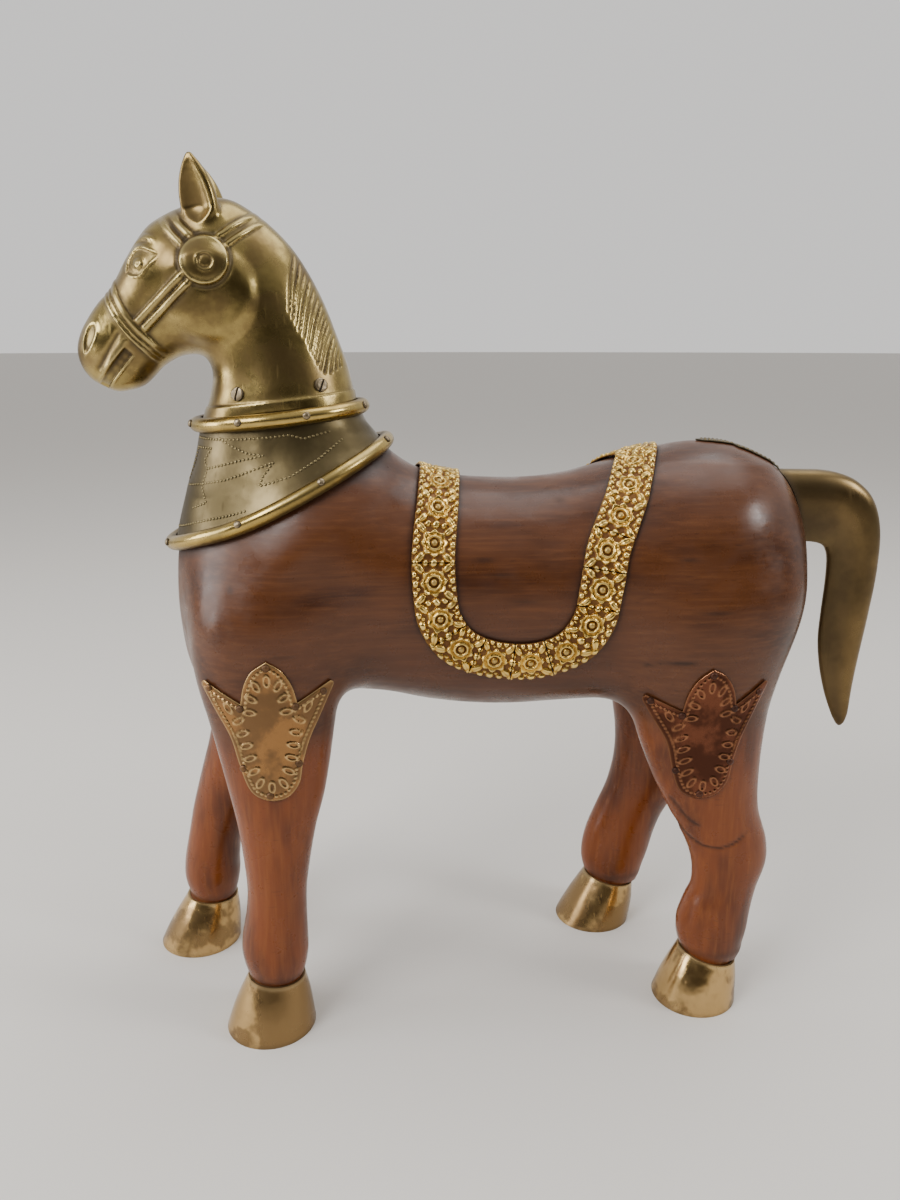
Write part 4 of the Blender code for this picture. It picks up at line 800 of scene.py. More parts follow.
def bridleHeight(x, z):
    # Each strap is two or three ribs at steady offsets from its middle line.
    height = np.zeros(np.broadcast(x, z).shape)
    for line, offsets, halves, tall, lasts in bridle.values():
        line = spline(line, 24)
        away, share, side = lineDistance(x, z, line)
        signed = side * away
        fade = smoothStep(0.0, 0.08, share) * smoothStep(1.0, lasts, share)
        for offset, half in zip(offsets, halves):
            rail = tall * np.clip(1 - ((signed - offset) / half) ** 2, 0, 1) ** 0.7
            height = np.maximum(height, rail * fade)
        reach = max(abs(o) + h for o, h in zip(offsets, halves))
        height = height - 0.3 * bump(away - reach - 0.2, 0.6) * (away > reach - 0.3) * fade
    (bx, bz), radius, tall = headSizes["boss"]
    away = np.hypot(x - bx, z - bz)
    disc = tall * smoothStep(radius, radius - 1.4, away) - 0.2 * bump(away - radius + 2.6, 0.9)
    disc = disc + 0.9 * np.clip(1 - (away / radius) ** 2, 0, 1)
    (ex, ez), ring = headSizes["bossEye"]
    away2 = np.hypot(x - ex, z - ez)
    disc = disc + 0.45 * bump(away2 - ring - 0.7, 0.55) - 0.6 * bump(away2 - ring + 0.35, 0.5)
    covered = np.maximum(height * smoothStep(radius - 2.5, radius, away), disc)
    height = np.where(away < radius, covered, height)
    return height - 0.5 * bump(away - radius - 0.7, 0.7) * (away > radius)


def faceHeight(x, z):
    # Lids are ribs along curves round the eyeball's dome, brow and lips likewise, nostril and mouth are
    # hollows.
    ex, ez = eye["centre"]
    upper = spline([(-147.5, 389.8), (-146.5, 396), (-142.4, 401), (-137.3, 400.9), (-130.6, 397.6)], 24)
    lower = spline([(-147.5, 389.8), (-143.8, 388.3), (-140, 388.8), (-136.4, 392.6), (-130.6, 397.6)], 24)
    brow = spline([(-150.5, 391), (-149, 398), (-144, 404.3), (-138, 406.4), (-131.5, 403.2)], 24)
    corner = np.vstack([upper, lower[-2:0:-1]])
    inside = outlineDistance(x, z, corner)
    height = -0.35 * smoothStep(0.2, -0.6, inside)
    ball = np.hypot(x - ex, z - ez)
    height = height + np.where(inside < 0.4, 1.1 * np.clip(1 - (ball / (eye["ball"] + 1.2)) ** 2, 0, 1), 0)
    height = height - 0.5 * bump(ball - 2.9, 0.35) * (inside < 0)
    height = height + 0.3 * bump(ball - 1.2, 0.4) * (inside < 0)
    for line, half, tall in ((upper, 0.75, 0.8), (lower, 0.65, 0.55), (brow, 1.6, 0.8)):
        away, along, _ = lineDistance(x, z, line)
        lid = tall * np.clip(1 - (away / half) ** 2, 0, 1) ** 0.8
        height = height + lid * smoothStep(0, 0.1, along) * smoothStep(1.0, 0.85, along)
    crease = spline([(-149.3, 392.5), (-147.5, 399.3), (-143, 403.3), (-137, 403.8)], 20)
    away, _, _ = lineDistance(x, z, crease)
    height = height - 0.4 * bump(away, 0.55)
    turn = math.radians(69)
    u = (x + 167.8) * math.cos(turn) + (z - 360.5) * math.sin(turn)
    v = -(x + 167.8) * math.sin(turn) + (z - 360.5) * math.cos(turn)
    # The nostril is a drop: its half width shrinks towards its lower end.
    hole = np.hypot(u / 6.8, v / np.maximum(2.3 + 0.1 * u, 0.8))
    height = height - 1.0 * smoothStep(1.05, 0.75, hole) + 0.45 * bump(hole - 1.22, 0.16)
    return height


def mouthHeight(x, z):
    # The open mouth is a sunk band between two thin lips, with two creases above it.
    height = np.zeros(np.broadcast(x, z).shape)
    mouth = spline([(-148.5, 355.3), (-153, 350.5), (-158, 345), (-167.5, 335)], 24)
    away, along, _ = lineDistance(x, z, mouth)
    opened = smoothStep(0, 0.06, along)
    height = height - 1.3 * smoothStep(2.5, 1.7, away) * opened + 0.6 * bump(away - 3.0, 0.5) * opened
    # Faint teeth: ripples along the band's middle.
    height = height + 0.3 * bump(away, 1.2) * opened * (0.5 + 0.5 * np.cos(along * 34))
    for line, half, deep in (
        ([(-151.5, 365), (-156.5, 358), (-162.5, 349), (-167, 344.5)], 1.3, 1.1),
        ([(-147, 361), (-152, 357.5), (-158, 350.5), (-164, 343.5)], 1.6, -0.7),
    ):
        away, along, _ = lineDistance(x, z, spline(line, 24))
        height = height - deep * bump(away, half) * smoothStep(0, 0.15, along) * smoothStep(1, 0.75, along)
    return height


def maneHeight(x, z, depth):
    # Each stroke is a groove from the mane's foot up to the crest, bent a little forward.
    feet, crests = spline(mane["foot"], mane["strokes"]), spline(mane["crest"], mane["strokes"])
    height = np.zeros(np.broadcast(x, z).shape)
    for k, (foot, crest) in enumerate(zip(feet, crests)):
        bend = (foot + crest) / 2 + (-0.5, 0.3)
        away, along, _ = lineDistance(x, z, spline([foot, bend, crest], 14))
        deep = mane["depth"] * (0.8 + 0.2 * math.sin(2.4 * k)) * smoothStep(0, 0.08, along)
        height = np.minimum(height, -deep * np.clip(1.2 - away / mane["half"], 0, 1))
    return height * smoothStep(-0.3, -4.5, depth)


headDepth = depthMap(spline(headOutline, 200, closed=True), 4.5)


def headMaps():
    # Everything about the head that depends on the side view alone, on one fine grid.
    cell, low, high = 0.25, (-184.0, 303.0), (-30.0, 449.0)
    x = np.arange(low[0], high[0], cell)[:, None]
    z = np.arange(low[1], high[1], cell)[None, :]
    depth = headDepth(x, z)
    (cx, cz), radius, tall = headSizes["cheek"]
    cheek = tall * smoothStep(radius + 0.5, radius - 7.5, np.hypot(x - cx, (z - cz) * 1.05))
    cheek = cheek * smoothStep(-137, -113, x)
    side = smoothStep(0.0, 6.0, -depth)
    rounded = 0.3 + 0.7 * smoothStep(0.5, 5.0, -depth)
    mouth = mouthHeight(x, z) * smoothStep(0.0, 2.5, -depth)
    fine = bridleHeight(x, z) * rounded + faceHeight(x, z) * side + mouth + maneHeight(x, z, depth)
    top = (z - planeHeight(upperBar, x)) / math.hypot(1, upperBar[1])
    fine = fine + headSizes["flare"] * smoothStep(9.5, 8.6, top)
    lowered = blurred(fine, 1.6 / cell) - fine
    return (sampler(grid, low, cell) for grid in (depth, fine + cheek * side, lowered))


depthRead, reliefRead, hollowRead = headMaps()
headRows, neckRows = spline(headWidth, 60), spline(neckOverWood, 60)


def earField(x, y, z):
    # A leaf from root to tip with an elliptical section, less a smaller leaf sunk in its outer side.
    y = np.abs(y)
    root, tip = np.array(ear["root"]), np.array(ear["tip"])
    way = tip - root
    length = np.linalg.norm(way)
    way = way / length
    out = np.array([-0.3, 0.95, 0.0])
    out = out - way * (out @ way)
    out = out / np.linalg.norm(out)
    across = np.cross(way, out)
    px, py, pz = x - root[0], y - root[1], z - root[2]
    t = (px * way[0] + py * way[1] + pz * way[2]) / length
    u = px * across[0] + py * across[1] + pz * across[2]
    v = px * out[0] + py * out[1] + pz * out[2]
    shape = spline(ear["shape"], 60)
    lobe = ear["half"] * np.interp(t, shape[:, 0], shape[:, 1])
    deep = 0.62 * lobe + 0.3
    leaf = (np.sqrt((u / lobe) ** 2 + (v / deep) ** 2) - 1) * deep
    leaf = np.maximum(leaf, np.maximum(t - 1, -0.35 - t) * length)
    bowl = ear["half"] * np.interp(t + 0.03, shape[:, 0], shape[:, 1]) - ear["wall"]
    bowl = np.maximum(np.maximum(bowl, 0.2) * smoothStep(0.19, 0.4, t) ** 0.5, 0.1)
    sunk = (v - 0.62 * lobe) / ear["scoop"]
    cup = (np.sqrt((u / bowl) ** 2 + (sunk / bowl) ** 2) - 1) * bowl * ear["scoop"]
    return -softUnion(-leaf, cup, 2.0)


def headField(x, y, z):
    # The side outline rolled out sideways, with the relief added. Half width follows the distance from the
    # muzzle's tip on the head and the height on the neck. The ears join it softly, and it ends a gap above
    # the neck's wood.
    along = np.hypot(x - muzzleTip[0], z - muzzleTip[1])
    headHalf = np.interp(along, headRows[:, 0], headRows[:, 1])
    neckHalf = trunkSizes["neckHalf"] + np.interp(z, neckRows[:, 0], neckRows[:, 1])
    neck = smoothStep(-118, -92, x + 0.35 * (z - 352))
    half = headHalf + (neckHalf - headHalf) * neck
    rounding = headSizes["rounding"] + (trunkSizes["neckRounding"] - headSizes["rounding"]) * neck
    field = pillow(depthRead(x, z), y, rounding, half) - reliefRead(x, z)
    field = softUnion(field, earField(x, y, z), 3.0)
    top = (z - planeHeight(upperBar, x)) / math.hypot(1, upperBar[1])
    return np.maximum(field, headSizes["gap"] - top)


def makeHead():
    # The head's field as one mesh, with marks on its points: hollows darkened by dirt and painted shade,
    # raised edges lightened by rubbed wear and painted highlight.
    cell = headSizes["cell"]
    axes = [np.arange(-182, -33, cell), np.arange(-36.1, 36.2, cell), np.arange(311, 446, cell)]
    points, faces = fieldSurface(headField, axes)
    # Points settle by a short step at most, because longer ones would fold the thin rims of the ears.
    settled, _ = settle(headField, points, rounds=2)
    step = np.linalg.norm(settled - points, axis=1)[:, None]
    points = points + (settled - points) * np.minimum(1, headSizes["longestStep"] / np.maximum(step, 0.001))
    x, y, z = points.T
    lowered = hollowRead(x, z) * smoothStep(3, 10, np.abs(y))
    hollow = np.clip(lowered / 0.7, 0, 1)
    # Painted shade: a dark band along the head's lower end, next to the upper bar.
    top = (z - planeHeight(upperBar, x)) / math.hypot(1, upperBar[1])
    hollow = np.clip(hollow + 0.5 * bump(top - 1.0, 1.2), 0, 1)
    # Raised relief lightened: rubbed wear and painted highlight.
    edge = np.clip(-lowered / 0.8, 0, 1)
    marks = {"hollow": hollow, "edge": edge}
    addPiece("brassHead", points, faces, castBrass, ["brass_head"], marks, turn=False)
    print("head made:", len(faces), "quads")


makeHead()


# Collar with its bars, nails and screws.

collarSizes = {
    "clearance": 0.7, "thickness": 0.9, "wave": 0.15, "rows": 64, "around": 360,
    "dotRadius": 0.75, "dotHeight": 0.45, "dotPitch": 2.0,
}
barSizes = {"width": 7.5, "height": 4.6, "gap": 0.7, "around": 300}
nailSizes = {"radius": 1.9, "height": 1.1}
screwSizes = {"radius": 3.3, "height": 1.3, "slot": 0.8}
# Punched lines as (degrees round the neck from the throat, share of the way up the collar).
punchLines = [
    [(15, 0.92), (68, 0.87), (109, 0.83), (119, 0.74), (138, 0.74)],
    [(46, 0.9), (58, 0.82), (74, 0.72), (87, 0.67), (65, 0.67), (35, 0.64)],
    [(35, 0.64), (30, 0.72), (36, 0.82), (16, 0.84)],
    [(16, 0.82), (12, 0.68), (9, 0.54)],
    [(35, 0.64), (32, 0.49), (40, 0.33), (28, 0.3)],
    [(14, 0.51), (54, 0.51), (95, 0.57), (87, 0.46), (84, 0.36), (108, 0.33), (127, 0.4), (144, 0.54)],
    [(8, 0.15), (46, 0.17), (76, 0.15)],
]


def neckRing(plane, count, sag=0.0):
    # Where a plane cuts the neck, from the throat round by the left side.
    low, high = -136.0, -34.0
    middle = np.array([(low + high) / 2, 0, planeHeight(plane, (low + high) / 2)])
    angle = np.linspace(0, 2 * math.pi, count, endpoint=False)
    ahead = np.array([-1, 0, -plane[1]]) / math.hypot(1, plane[1])
    way = np.cos(angle)[:, None] * ahead + np.sin(angle)[:, None] * np.array([0, -1, 0])
    p = castOut(trunkField, np.repeat(middle[None], count, 0), way, 90)
    p[:, 2] -= sag * np.sin(angle) ** 2
    return settle(skinField, p)


def makeCollar():
    # A sheet between two rings round the neck, with punched dots as low domes on it.
    rows, count = collarSizes["rows"], collarSizes["around"]
    low, _ = neckRing(lowerBar, count, barSag)
    high, _ = neckRing((upperBar[0] - 1.0, upperBar[1]), count)
    t = np.linspace(0, 1, rows)[:, None, None]
    base, normals = settle(skinField, (low + (high - low) * t).reshape(-1, 3))
    base, normals = base.reshape(rows, count, 3), normals.reshape(rows, count, 3)
    inner = collarSizes["clearance"]
    outer = inner + collarSizes["thickness"]
    # The sheet was beaten by hand: shallow waves run over it, a product of two sines.
    turn = np.linspace(0, 2 * math.pi, count, endpoint=False)[None, :, None]
    waves = collarSizes["wave"] * np.sin(7 * turn + 5 * t) * np.sin(9 * t + 3 * np.sin(2 * turn))
    points = [(base + normals * inner).reshape(-1, 3), (base + normals * (outer + waves)).reshape(-1, 3)]
    faces = sheetFaces(rows, count, wraps=True).tolist()
    # Dirt and painted shade darken the sheet along its lower and upper edges, under the bars.
    dirt = 0.6 * (bump(t * 40, 3) + bump((1 - t) * 30, 3))
    hollow = [np.zeros(rows * count), np.broadcast_to(dirt, (rows, count, 1)).ravel()]
    edge = [np.zeros(rows * count), np.zeros(rows * count)]
    done = 2 * rows * count
    dots = []
    for mirrored in (False, True):
        for line in punchLines:
            degrees, up = np.array(line, float).T
            u = (360 - degrees if mirrored else degrees) / 360 * count
            v = up * (rows - 1)
            spread = np.linspace(0, len(line) - 1, 600)
            fineU, fineV = (np.interp(spread, np.arange(len(line)), s) for s in (u, v))
            i, j = np.floor(fineV).astype(int), np.floor(fineU).astype(int) % count
            fv, fu = (fineV % 1)[:, None], (fineU % 1)[:, None]
            i2, j2 = np.minimum(i + 1, rows - 1), (j + 1) % count
            below = base[i, j] * (1 - fu) + base[i, j2] * fu
            above = base[i2, j] * (1 - fu) + base[i2, j2] * fu
            way = below * (1 - fv) + above * fv
            run = np.concatenate([[0], np.cumsum(np.linalg.norm(np.diff(way, axis=0), axis=1))])
            stops = np.arange(0, run[-1], collarSizes["dotPitch"])
            dots.append(np.stack([np.interp(stops, run, way[:, k]) for k in range(3)], 1))
    spots = np.vstack(dots)
    spots, ways = settle(skinField, spots, rounds=1)
    r, h = collarSizes["dotRadius"], collarSizes["dotHeight"]
    profile = [(r, -0.3), (r * 0.95, h * 0.35), (r * 0.6, h * 0.85), (r * 0.2, h)]
    for spot, way in zip(spots, ways):
        more, rim = turned(profile, spot + way * outer, way, 8)
        points.append(more)
        faces += [[done + k for k in f] for f in rim]
        # Painted shade round each dot's foot, and a painted highlight over its top.
        ring = np.repeat([0.0, 0.2, 1.0, 1.0], 8)
        hollow.append(0.7 - 0.7 * ring)
        edge.append(ring)
        done += len(more)
    addPiece(
        "collarPlate", np.vstack(points), faces, collarBrass, ["collar_plate"],
        {"hollow": np.concatenate(hollow), "edge": np.concatenate(edge)}, crease=40, turn=False,
    )
    print("collar made with", len(spots), "punched dots")


def makeNail(name, foot, normal, nodes):
    # A low dome: the height follows a quarter circle from rim to crown.
    r, h = nailSizes["radius"], nailSizes["height"]
    turn = np.linspace(0, math.pi / 2, 7)[:-1]
    profile = [(r, -0.3)] + [(r * math.cos(a), h * math.sin(a)) for a in turn] + [(0.08 * r, h)]
    points, faces = turned(profile, foot, normal, 20)
    # Painted shade round the nail's foot, and a painted highlight over its crown.
    marks = np.repeat([1.0, 0.9, 0.5, 0.2, 0.1, 0, 0, 0], 20)
    addPiece(name, points, faces, iron, nodes, {"hollow": marks, "edge": np.clip(0.6 - marks, 0, 1)})


def makeBar(name, node, plane, sag, nails):
    # A half-round section carried along the ring, with its nails through it.
    count = barSizes["around"]
    p, n = neckRing(plane, count, sag)
    along = np.roll(p, -1, 0) - np.roll(p, 1, 0)
    along = along / np.linalg.norm(along, axis=1)[:, None]
    n = n - along * (n * along).sum(1)[:, None]
    n = n / np.linalg.norm(n, axis=1)[:, None]
    side = np.cross(along, n)
    seat = collarSizes["clearance"] + collarSizes["thickness"] + barSizes["gap"]
    turn = np.linspace(0, math.pi, 15)
    across, out = np.cos(turn) * barSizes["width"] / 2, np.sin(turn) ** 0.8 * barSizes["height"] + seat
    wobble = 0.12 * np.sin(np.linspace(0, 2 * math.pi, count, endpoint=False) * 9)[:, None, None]
    lift = out[None, :, None] + wobble * np.sin(turn)[None, :, None]
    ring = p[:, None] + side[:, None] * across[None, :, None] + n[:, None] * lift
    # Painted shade along the bar's feet on the collar, and a painted highlight along its crown.
    marks = np.tile(np.abs(np.cos(turn)) ** 6, count)
    addPiece(name, ring.reshape(-1, 3), tubeQuads(count, len(turn), closed=True), barBrass, [node],
             {"hollow": marks, "edge": np.tile(np.sin(turn) ** 4, count) * 0.6}, crease=50)
    top = seat + barSizes["height"] + 0.1
    for i, angle in enumerate(nails):
        spot = angle / 360 * count
        a, f = int(spot) % count, spot % 1
        b = (a + 1) % count
        way = n[a] * (1 - f) + n[b] * f
        makeNail(f"{name}Nail{i + 1}", p[a] * (1 - f) + p[b] * f + way * top, way, [f"{node}_nail_{i + 1}"])


def makeScrews():
    # A flat head with a rounded rim and a slot sunk across it, on a grid of rings and spokes.
    r, tall, slot = screwSizes["radius"], screwSizes["height"], screwSizes["slot"]
    for side, word in ((-1, "left"), (1, "right")):
        for place, (x, z), turn in (("front", (-98.5, 335), 1.35), ("rear", (-59.0, 339), 1.1)):
            spot = castOut(headField, np.array([[x, 0.0, z]]), np.array([0.0, side, 0.0]), 60)
            spot, normal = settle(headField, spot)
            first, second, normal = squareTo(normal[0])
            c, s = math.cos(turn), math.sin(turn)
            first, second = first * c + second * s, second * c - first * s
            rings, around = 22, 72
            reach = np.concatenate([[0.02], np.linspace(0.08, 1, rings - 1)])[:, None] * r
            spoke = np.linspace(0, 2 * math.pi, around, endpoint=False)[None]
            u, v = reach * np.cos(spoke), reach * np.sin(spoke)
            dome = tall - 0.45 * (reach / r) ** 6
            cut = smoothStep(slot * 0.62, slot * 0.42, np.abs(v))
            height = dome - 0.75 * cut
            body = spot[0] + u[..., None] * first + v[..., None] * second + height[..., None] * normal
            under = spot[0] - 0.2 * normal
            foot = under + np.outer(r * np.cos(spoke[0]), first) + np.outer(r * np.sin(spoke[0]), second)
            points = np.vstack([body.reshape(-1, 3), foot])
            faces = tubeQuads(rings + 1, around).tolist()
            faces += [list(range(around)), list(range(rings * around, (rings + 1) * around))]
            # Dirt and painted shade darken the slot, the rim and the underside; the rest of the head is
            # lightened a little by wear and painted highlight.
            dark = np.concatenate([(cut + 0.6 * (reach / r > 0.98)).ravel(), np.ones(around)])
            marks = {"hollow": np.clip(dark, 0, 1), "edge": np.clip(0.5 - dark, 0, 1)}
            name = f"neckScrew{word.title()}{place.title()}"
            addPiece(name, points, faces, iron, [f"neck_screw_{word}_{place}"], marks, crease=45)


makeCollar()
makeBar("upperBar", "upper_bar", upperBar, 0.0, (12, 68, 122, 167, 238, 292))
makeBar("lowerBar", "lower_bar", lowerBar, barSag, (12, 74, 124, 167, 236, 286))
makeScrews()
print("bars, nails and screws made")


# Stamped strap.


def rosetteHeight(u, v):
    # u runs along one tile from -9.3 to 9.3, v across the strap, in millimetres: a bead, a ring, a flange
    # whose eight lobes follow a cosine round the middle, and beads and leaves placed about it.
    away, turn = np.hypot(u, v), np.arctan2(v, u)
    lobes = 0.5 + 0.5 * np.cos(8 * turn + 0.4)
    height = rib(away, 1.9, 1.7)
    height = np.maximum(height, rib(away - 3.2, 0.7, 1.5))
    reach = 5.6 + 1.1 * lobes
    flange = (0.55 + 0.75 * lobes) * smoothStep(reach + 0.5, reach - 0.4, away)
    height = np.maximum(height, np.where(away > 3.0, flange, 0))
    height = height - 0.45 * rib(away - 4.6, 0.8, 1.0) * (0.4 + 0.6 * lobes) * (away > 3.7)
    height = height + 0.45 * bump(away - reach + 0.45, 0.4)
    beads = [(0, 9.2, 1.8), (4.3, 9.6, 1.5), (9.3, 9.4, 1.7), (9.3, 0, 2.1), (9.3, 4.1, 1.6), (2.5, 7.8, 0.9)]
    for bu, bv, r in beads:
        for su in (-1, 1) if bu else (1,):
            for sv in (-1, 1) if bv else (1,):
                height = np.maximum(height, rib(np.hypot(u - su * bu, v - sv * bv), r, 0.95 * r))
    for su in (-1, 1):
        for sv in (-1, 1):
            # A leaf in each corner: an ellipse turned to the corner, with a vein sunk along it.
            lu, lv = u * su - 6.8, v * sv - 6.9
            a, b = (lu + lv) * 0.7071, (lu - lv) * 0.7071
            leaf = rib(np.hypot(a / 3.0, b / 1.9), 1.0, 1.8) - 0.45 * bump(b, 0.4)
            height = np.maximum(height, leaf)
    return np.maximum(height, 0)


def makeStrap():
    # A sheet on the wood along the loop, cut in lengths of one or more tiles, with the relief on its outer
    # side.
    fineAlong, fineAcross = strapSizes["along"], strapSizes["across"]
    p, n = strapLoop(strapSizes, strapTiles * fineAlong)
    ahead = np.roll(p, -6, 0) - np.roll(p, 6, 0)
    ahead = ahead / np.linalg.norm(ahead, axis=1)[:, None]
    side = np.cross(ahead, n)
    across = np.linspace(-0.5, 0.5, fineAcross)
    grid = p[None] + side[None] * across[:, None, None] * strapSizes["width"]
    base, normals = settle(woodField, grid.reshape(-1, 3), rounds=3)
    base, normals = base.reshape(grid.shape), normals.reshape(grid.shape)
    back = strapSizes["backTiles"] * fineAlong
    at = back - back // 2
    bounds = [("FrontTop", "front_top", -(back // 2), at)]
    for i, tiles in enumerate(strapSizes["lengths"]):
        bounds.append((f"Left{i + 1}", f"left_{i + 1}", at, at + tiles * fineAlong))
        at += tiles * fineAlong
    bounds.append(("RearTop", "rear_top", at, at + back))
    at += back
    for i, tiles in enumerate(strapSizes["lengths"][::-1]):
        k = len(strapSizes["lengths"]) - i
        bounds.append((f"Right{k}", f"right_{k}", at, at + tiles * fineAlong))
        at += tiles * fineAlong
    rng = np.random.default_rng(7)
    for name, node, first, last in bounds:
        pick = np.arange(first, last + 1) % (strapTiles * fineAlong)
        part, face = base[:, pick].copy(), normals[:, pick]
        for end, way in ((0, 1), (-1, -1)):
            inward = part[:, end + 2 * way] - part[:, end]
            part[:, end] += inward / np.linalg.norm(inward, axis=1)[:, None] * strapSizes["cut"] / 2
        tile = (np.arange(part.shape[1]) / fineAlong) % 1
        u = ((tile - 0.5) * strapSizes["tile"])[None, :]
        v = (across * strapSizes["width"])[:, None]
        # Each tile was pressed a little differently: its middle shifts and its height varies.
        tiles = (last - first) // fineAlong
        number = np.minimum((np.arange(part.shape[1]) / fineAlong).astype(int), tiles - 1)
        shift = rng.uniform(-0.5, 0.5, (tiles, 2))[number]
        tall = rng.uniform(0.85, 1.1, tiles)[number]
        slid = shift[:, 0][None] * (1 - np.abs(2 * tile - 1))
        relief = rosetteHeight(u - slid, v - shift[:, 1][None]) * tall[None]
        rimFall = smoothStep(0.5, 0.47, np.abs(across))[:, None]
        inner = strapSizes["clearance"]
        outer = inner + strapSizes["base"] + relief * (0.25 + 0.75 * rimFall)
        points = np.concatenate([part + face * inner, part + face * outer[..., None]]).reshape(-1, 3)
        # Dirt and painted shade darken the sunk ground between the raised shapes, and rubbed wear and painted
        # highlight lighten their rims.
        low = blurred(relief, 3.0) - relief
        hollow = np.clip(0.75 * smoothStep(0.4, 0.05, relief) + np.clip(low / 0.5, 0, 1) * 0.4, 0, 1)
        # The middle beads are darker.
        hollow = np.clip(hollow + 0.55 * smoothStep(2.3, 1.2, np.hypot(u, v)), 0, 1)
        # The inner side is all painted shade.
        marks = {
            "hollow": np.concatenate([np.ones(hollow.size), hollow.ravel()]),
            "edge": np.concatenate([np.zeros(hollow.size), np.clip(-low / 0.5, 0, 1).ravel()]),
        }
        faces = sheetFaces(*hollow.shape)
        addPiece(f"strap{name}", points, faces, stampBrass, [f"strap_{node}"], marks)
    print("strap made")


makeStrap()


# Plates on the legs and the croup.

plateSizes = {
    "clearance": 0.7, "thickness": 0.9, "croupClearance": 0.3, "croupThickness": 0.7,
    "dotPitch": 2.3, "dotRadius": 0.85, "dotHeight": 0.65, "inset": 2.6,
    "petalLong": 2.7, "petalWide": 1.35, "petalHeight": 0.5,
}
plateTop = [
    (-31.3, 23.2), (-30, 24.5), (-12.8, 14.5), (-11, 23.5), (-7, 31), (0, 36), (7, 31), (11.5, 23),
    (13.7, 14), (29.5, 22.8), (31, 22),
]
plateFoot = [
    (-31.3, 21.8), (-24, 8), (-18.5, -3), (-15.5, -15), (-12.8, -25), (-9.5, -32), (-4, -35.5), (2, -36.3),
    (8, -34.5), (13, -28), (15, -18), (18.5, -6), (24, 6), (31, 20.8),
]
platePlaces = {
    "left_front": (-88.5, 176, 0.0, 0.0), "right_front": (-97, 176, 0.0, 0.2),
    "left_hind": (131.5, 165.5, 0.15, 0.0), "right_hind": (134, 165.5, 0.15, 0.0),
}
plateNailProfile = [(1.9, -0.2), (1.9, 0.3), (1.7, 0.75), (1.1, 1.1), (0.3, 1.25)]  # radius, height
plateNails = [
    (0, 33.2), (-13, 12.2), (12.6, 12.6), (-13, -19), (13, -17.5), (-0.8, -33.2), (-27.5, 21.3), (25.5, 18),
]
# Pressed petals as (across, up, direction in degrees of their long axis).
platePetals = [
    (0, 26.5, 90), (5.2, 23.8, 60), (-5.2, 23.8, 120), (7.6, 17.5, 30), (-7.6, 17.5, 150), (8.6, 10.5, 5),
    (-8.6, 10.5, 175), (18.5, 11.8, 60), (-18.5, 12.3, 120), (14.2, 5.5, 150), (-14, 6, 30),
    (-12.3, -0.5, 20), (12.5, -1, 160), (-10.8, -7, 20), (11, -7.5, 160), (-9.3, -13.5, 25),
    (9.8, -14, 155), (-7.8, -20.3, 35), (8.2, -20.8, 145), (-5.2, -26.5, 60), (5.6, -27, 120),
    (0.2, -28.8, 90),
]


def insetDots(outline, inset, pitch):
    # Evenly spaced spots along the line that keeps the inset from the outline: each corner moves along the
    # mean of its two sides' inward directions.
    p = np.array(outline, float)
    before, after = p - np.roll(p, 1, 0), np.roll(p, -1, 0) - p
    before, after = (d / np.linalg.norm(d, axis=1)[:, None] for d in (before, after))
    inward = np.stack([before[:, 1] + after[:, 1], -(before[:, 0] + after[:, 0])], 1)
    length = np.linalg.norm(inward, axis=1)[:, None]
    inner = p + inward / np.maximum(length, 0.3) * inset * np.minimum(2 / np.maximum(length, 0.3), 1.6)
    loop = np.vstack([inner, inner[:1]])
    run = np.concatenate([[0], np.cumsum(np.linalg.norm(np.diff(loop, axis=0), axis=1))])
    stops = np.arange(0, run[-1] - pitch / 2, pitch)
    spots = np.stack([np.interp(stops, run, loop[:, k]) for k in (0, 1)], 1)
    away = -outlineDistance(spots[:, 0], spots[:, 1], p)
    return spots[away > inset * 0.7]


def plateEdges():
    # The lobe bows from each shoulder up to its point, and the lower edge is one smooth curve.
    top = np.array(plateTop, float)
    left, right = spline(top[2:6], 24), spline(top[5:9], 24)
    return np.vstack([top[:2], left, right[1:], top[9:]]), spline(plateFoot, 60)


plateOutline = np.vstack([plateEdges()[0], plateEdges()[1][::-1]]).tolist()
plateDots = insetDots(plateOutline, plateSizes["inset"], plateSizes["dotPitch"])


def plateHeight(a, h):
    # Dots are domes along the border, and petals are raised loops with a sunk middle.
    height = np.zeros(a.shape)
    for da, dh in plateDots:
        dot = rib(np.hypot(a - da, h - dh), plateSizes["dotRadius"], plateSizes["dotHeight"])
        height = np.maximum(height, dot)
    for pa, ph, turn in platePetals:
        c, s = math.cos(math.radians(turn)), math.sin(math.radians(turn))
        u, v = (a - pa) * c + (h - ph) * s, -(a - pa) * s + (h - ph) * c
        ring = np.hypot(u / plateSizes["petalLong"], v / plateSizes["petalWide"])
        height = np.maximum(height, rib(ring - 1, 0.34, plateSizes["petalHeight"]))
        height = height - 0.35 * bump(ring, 0.5)
    return height


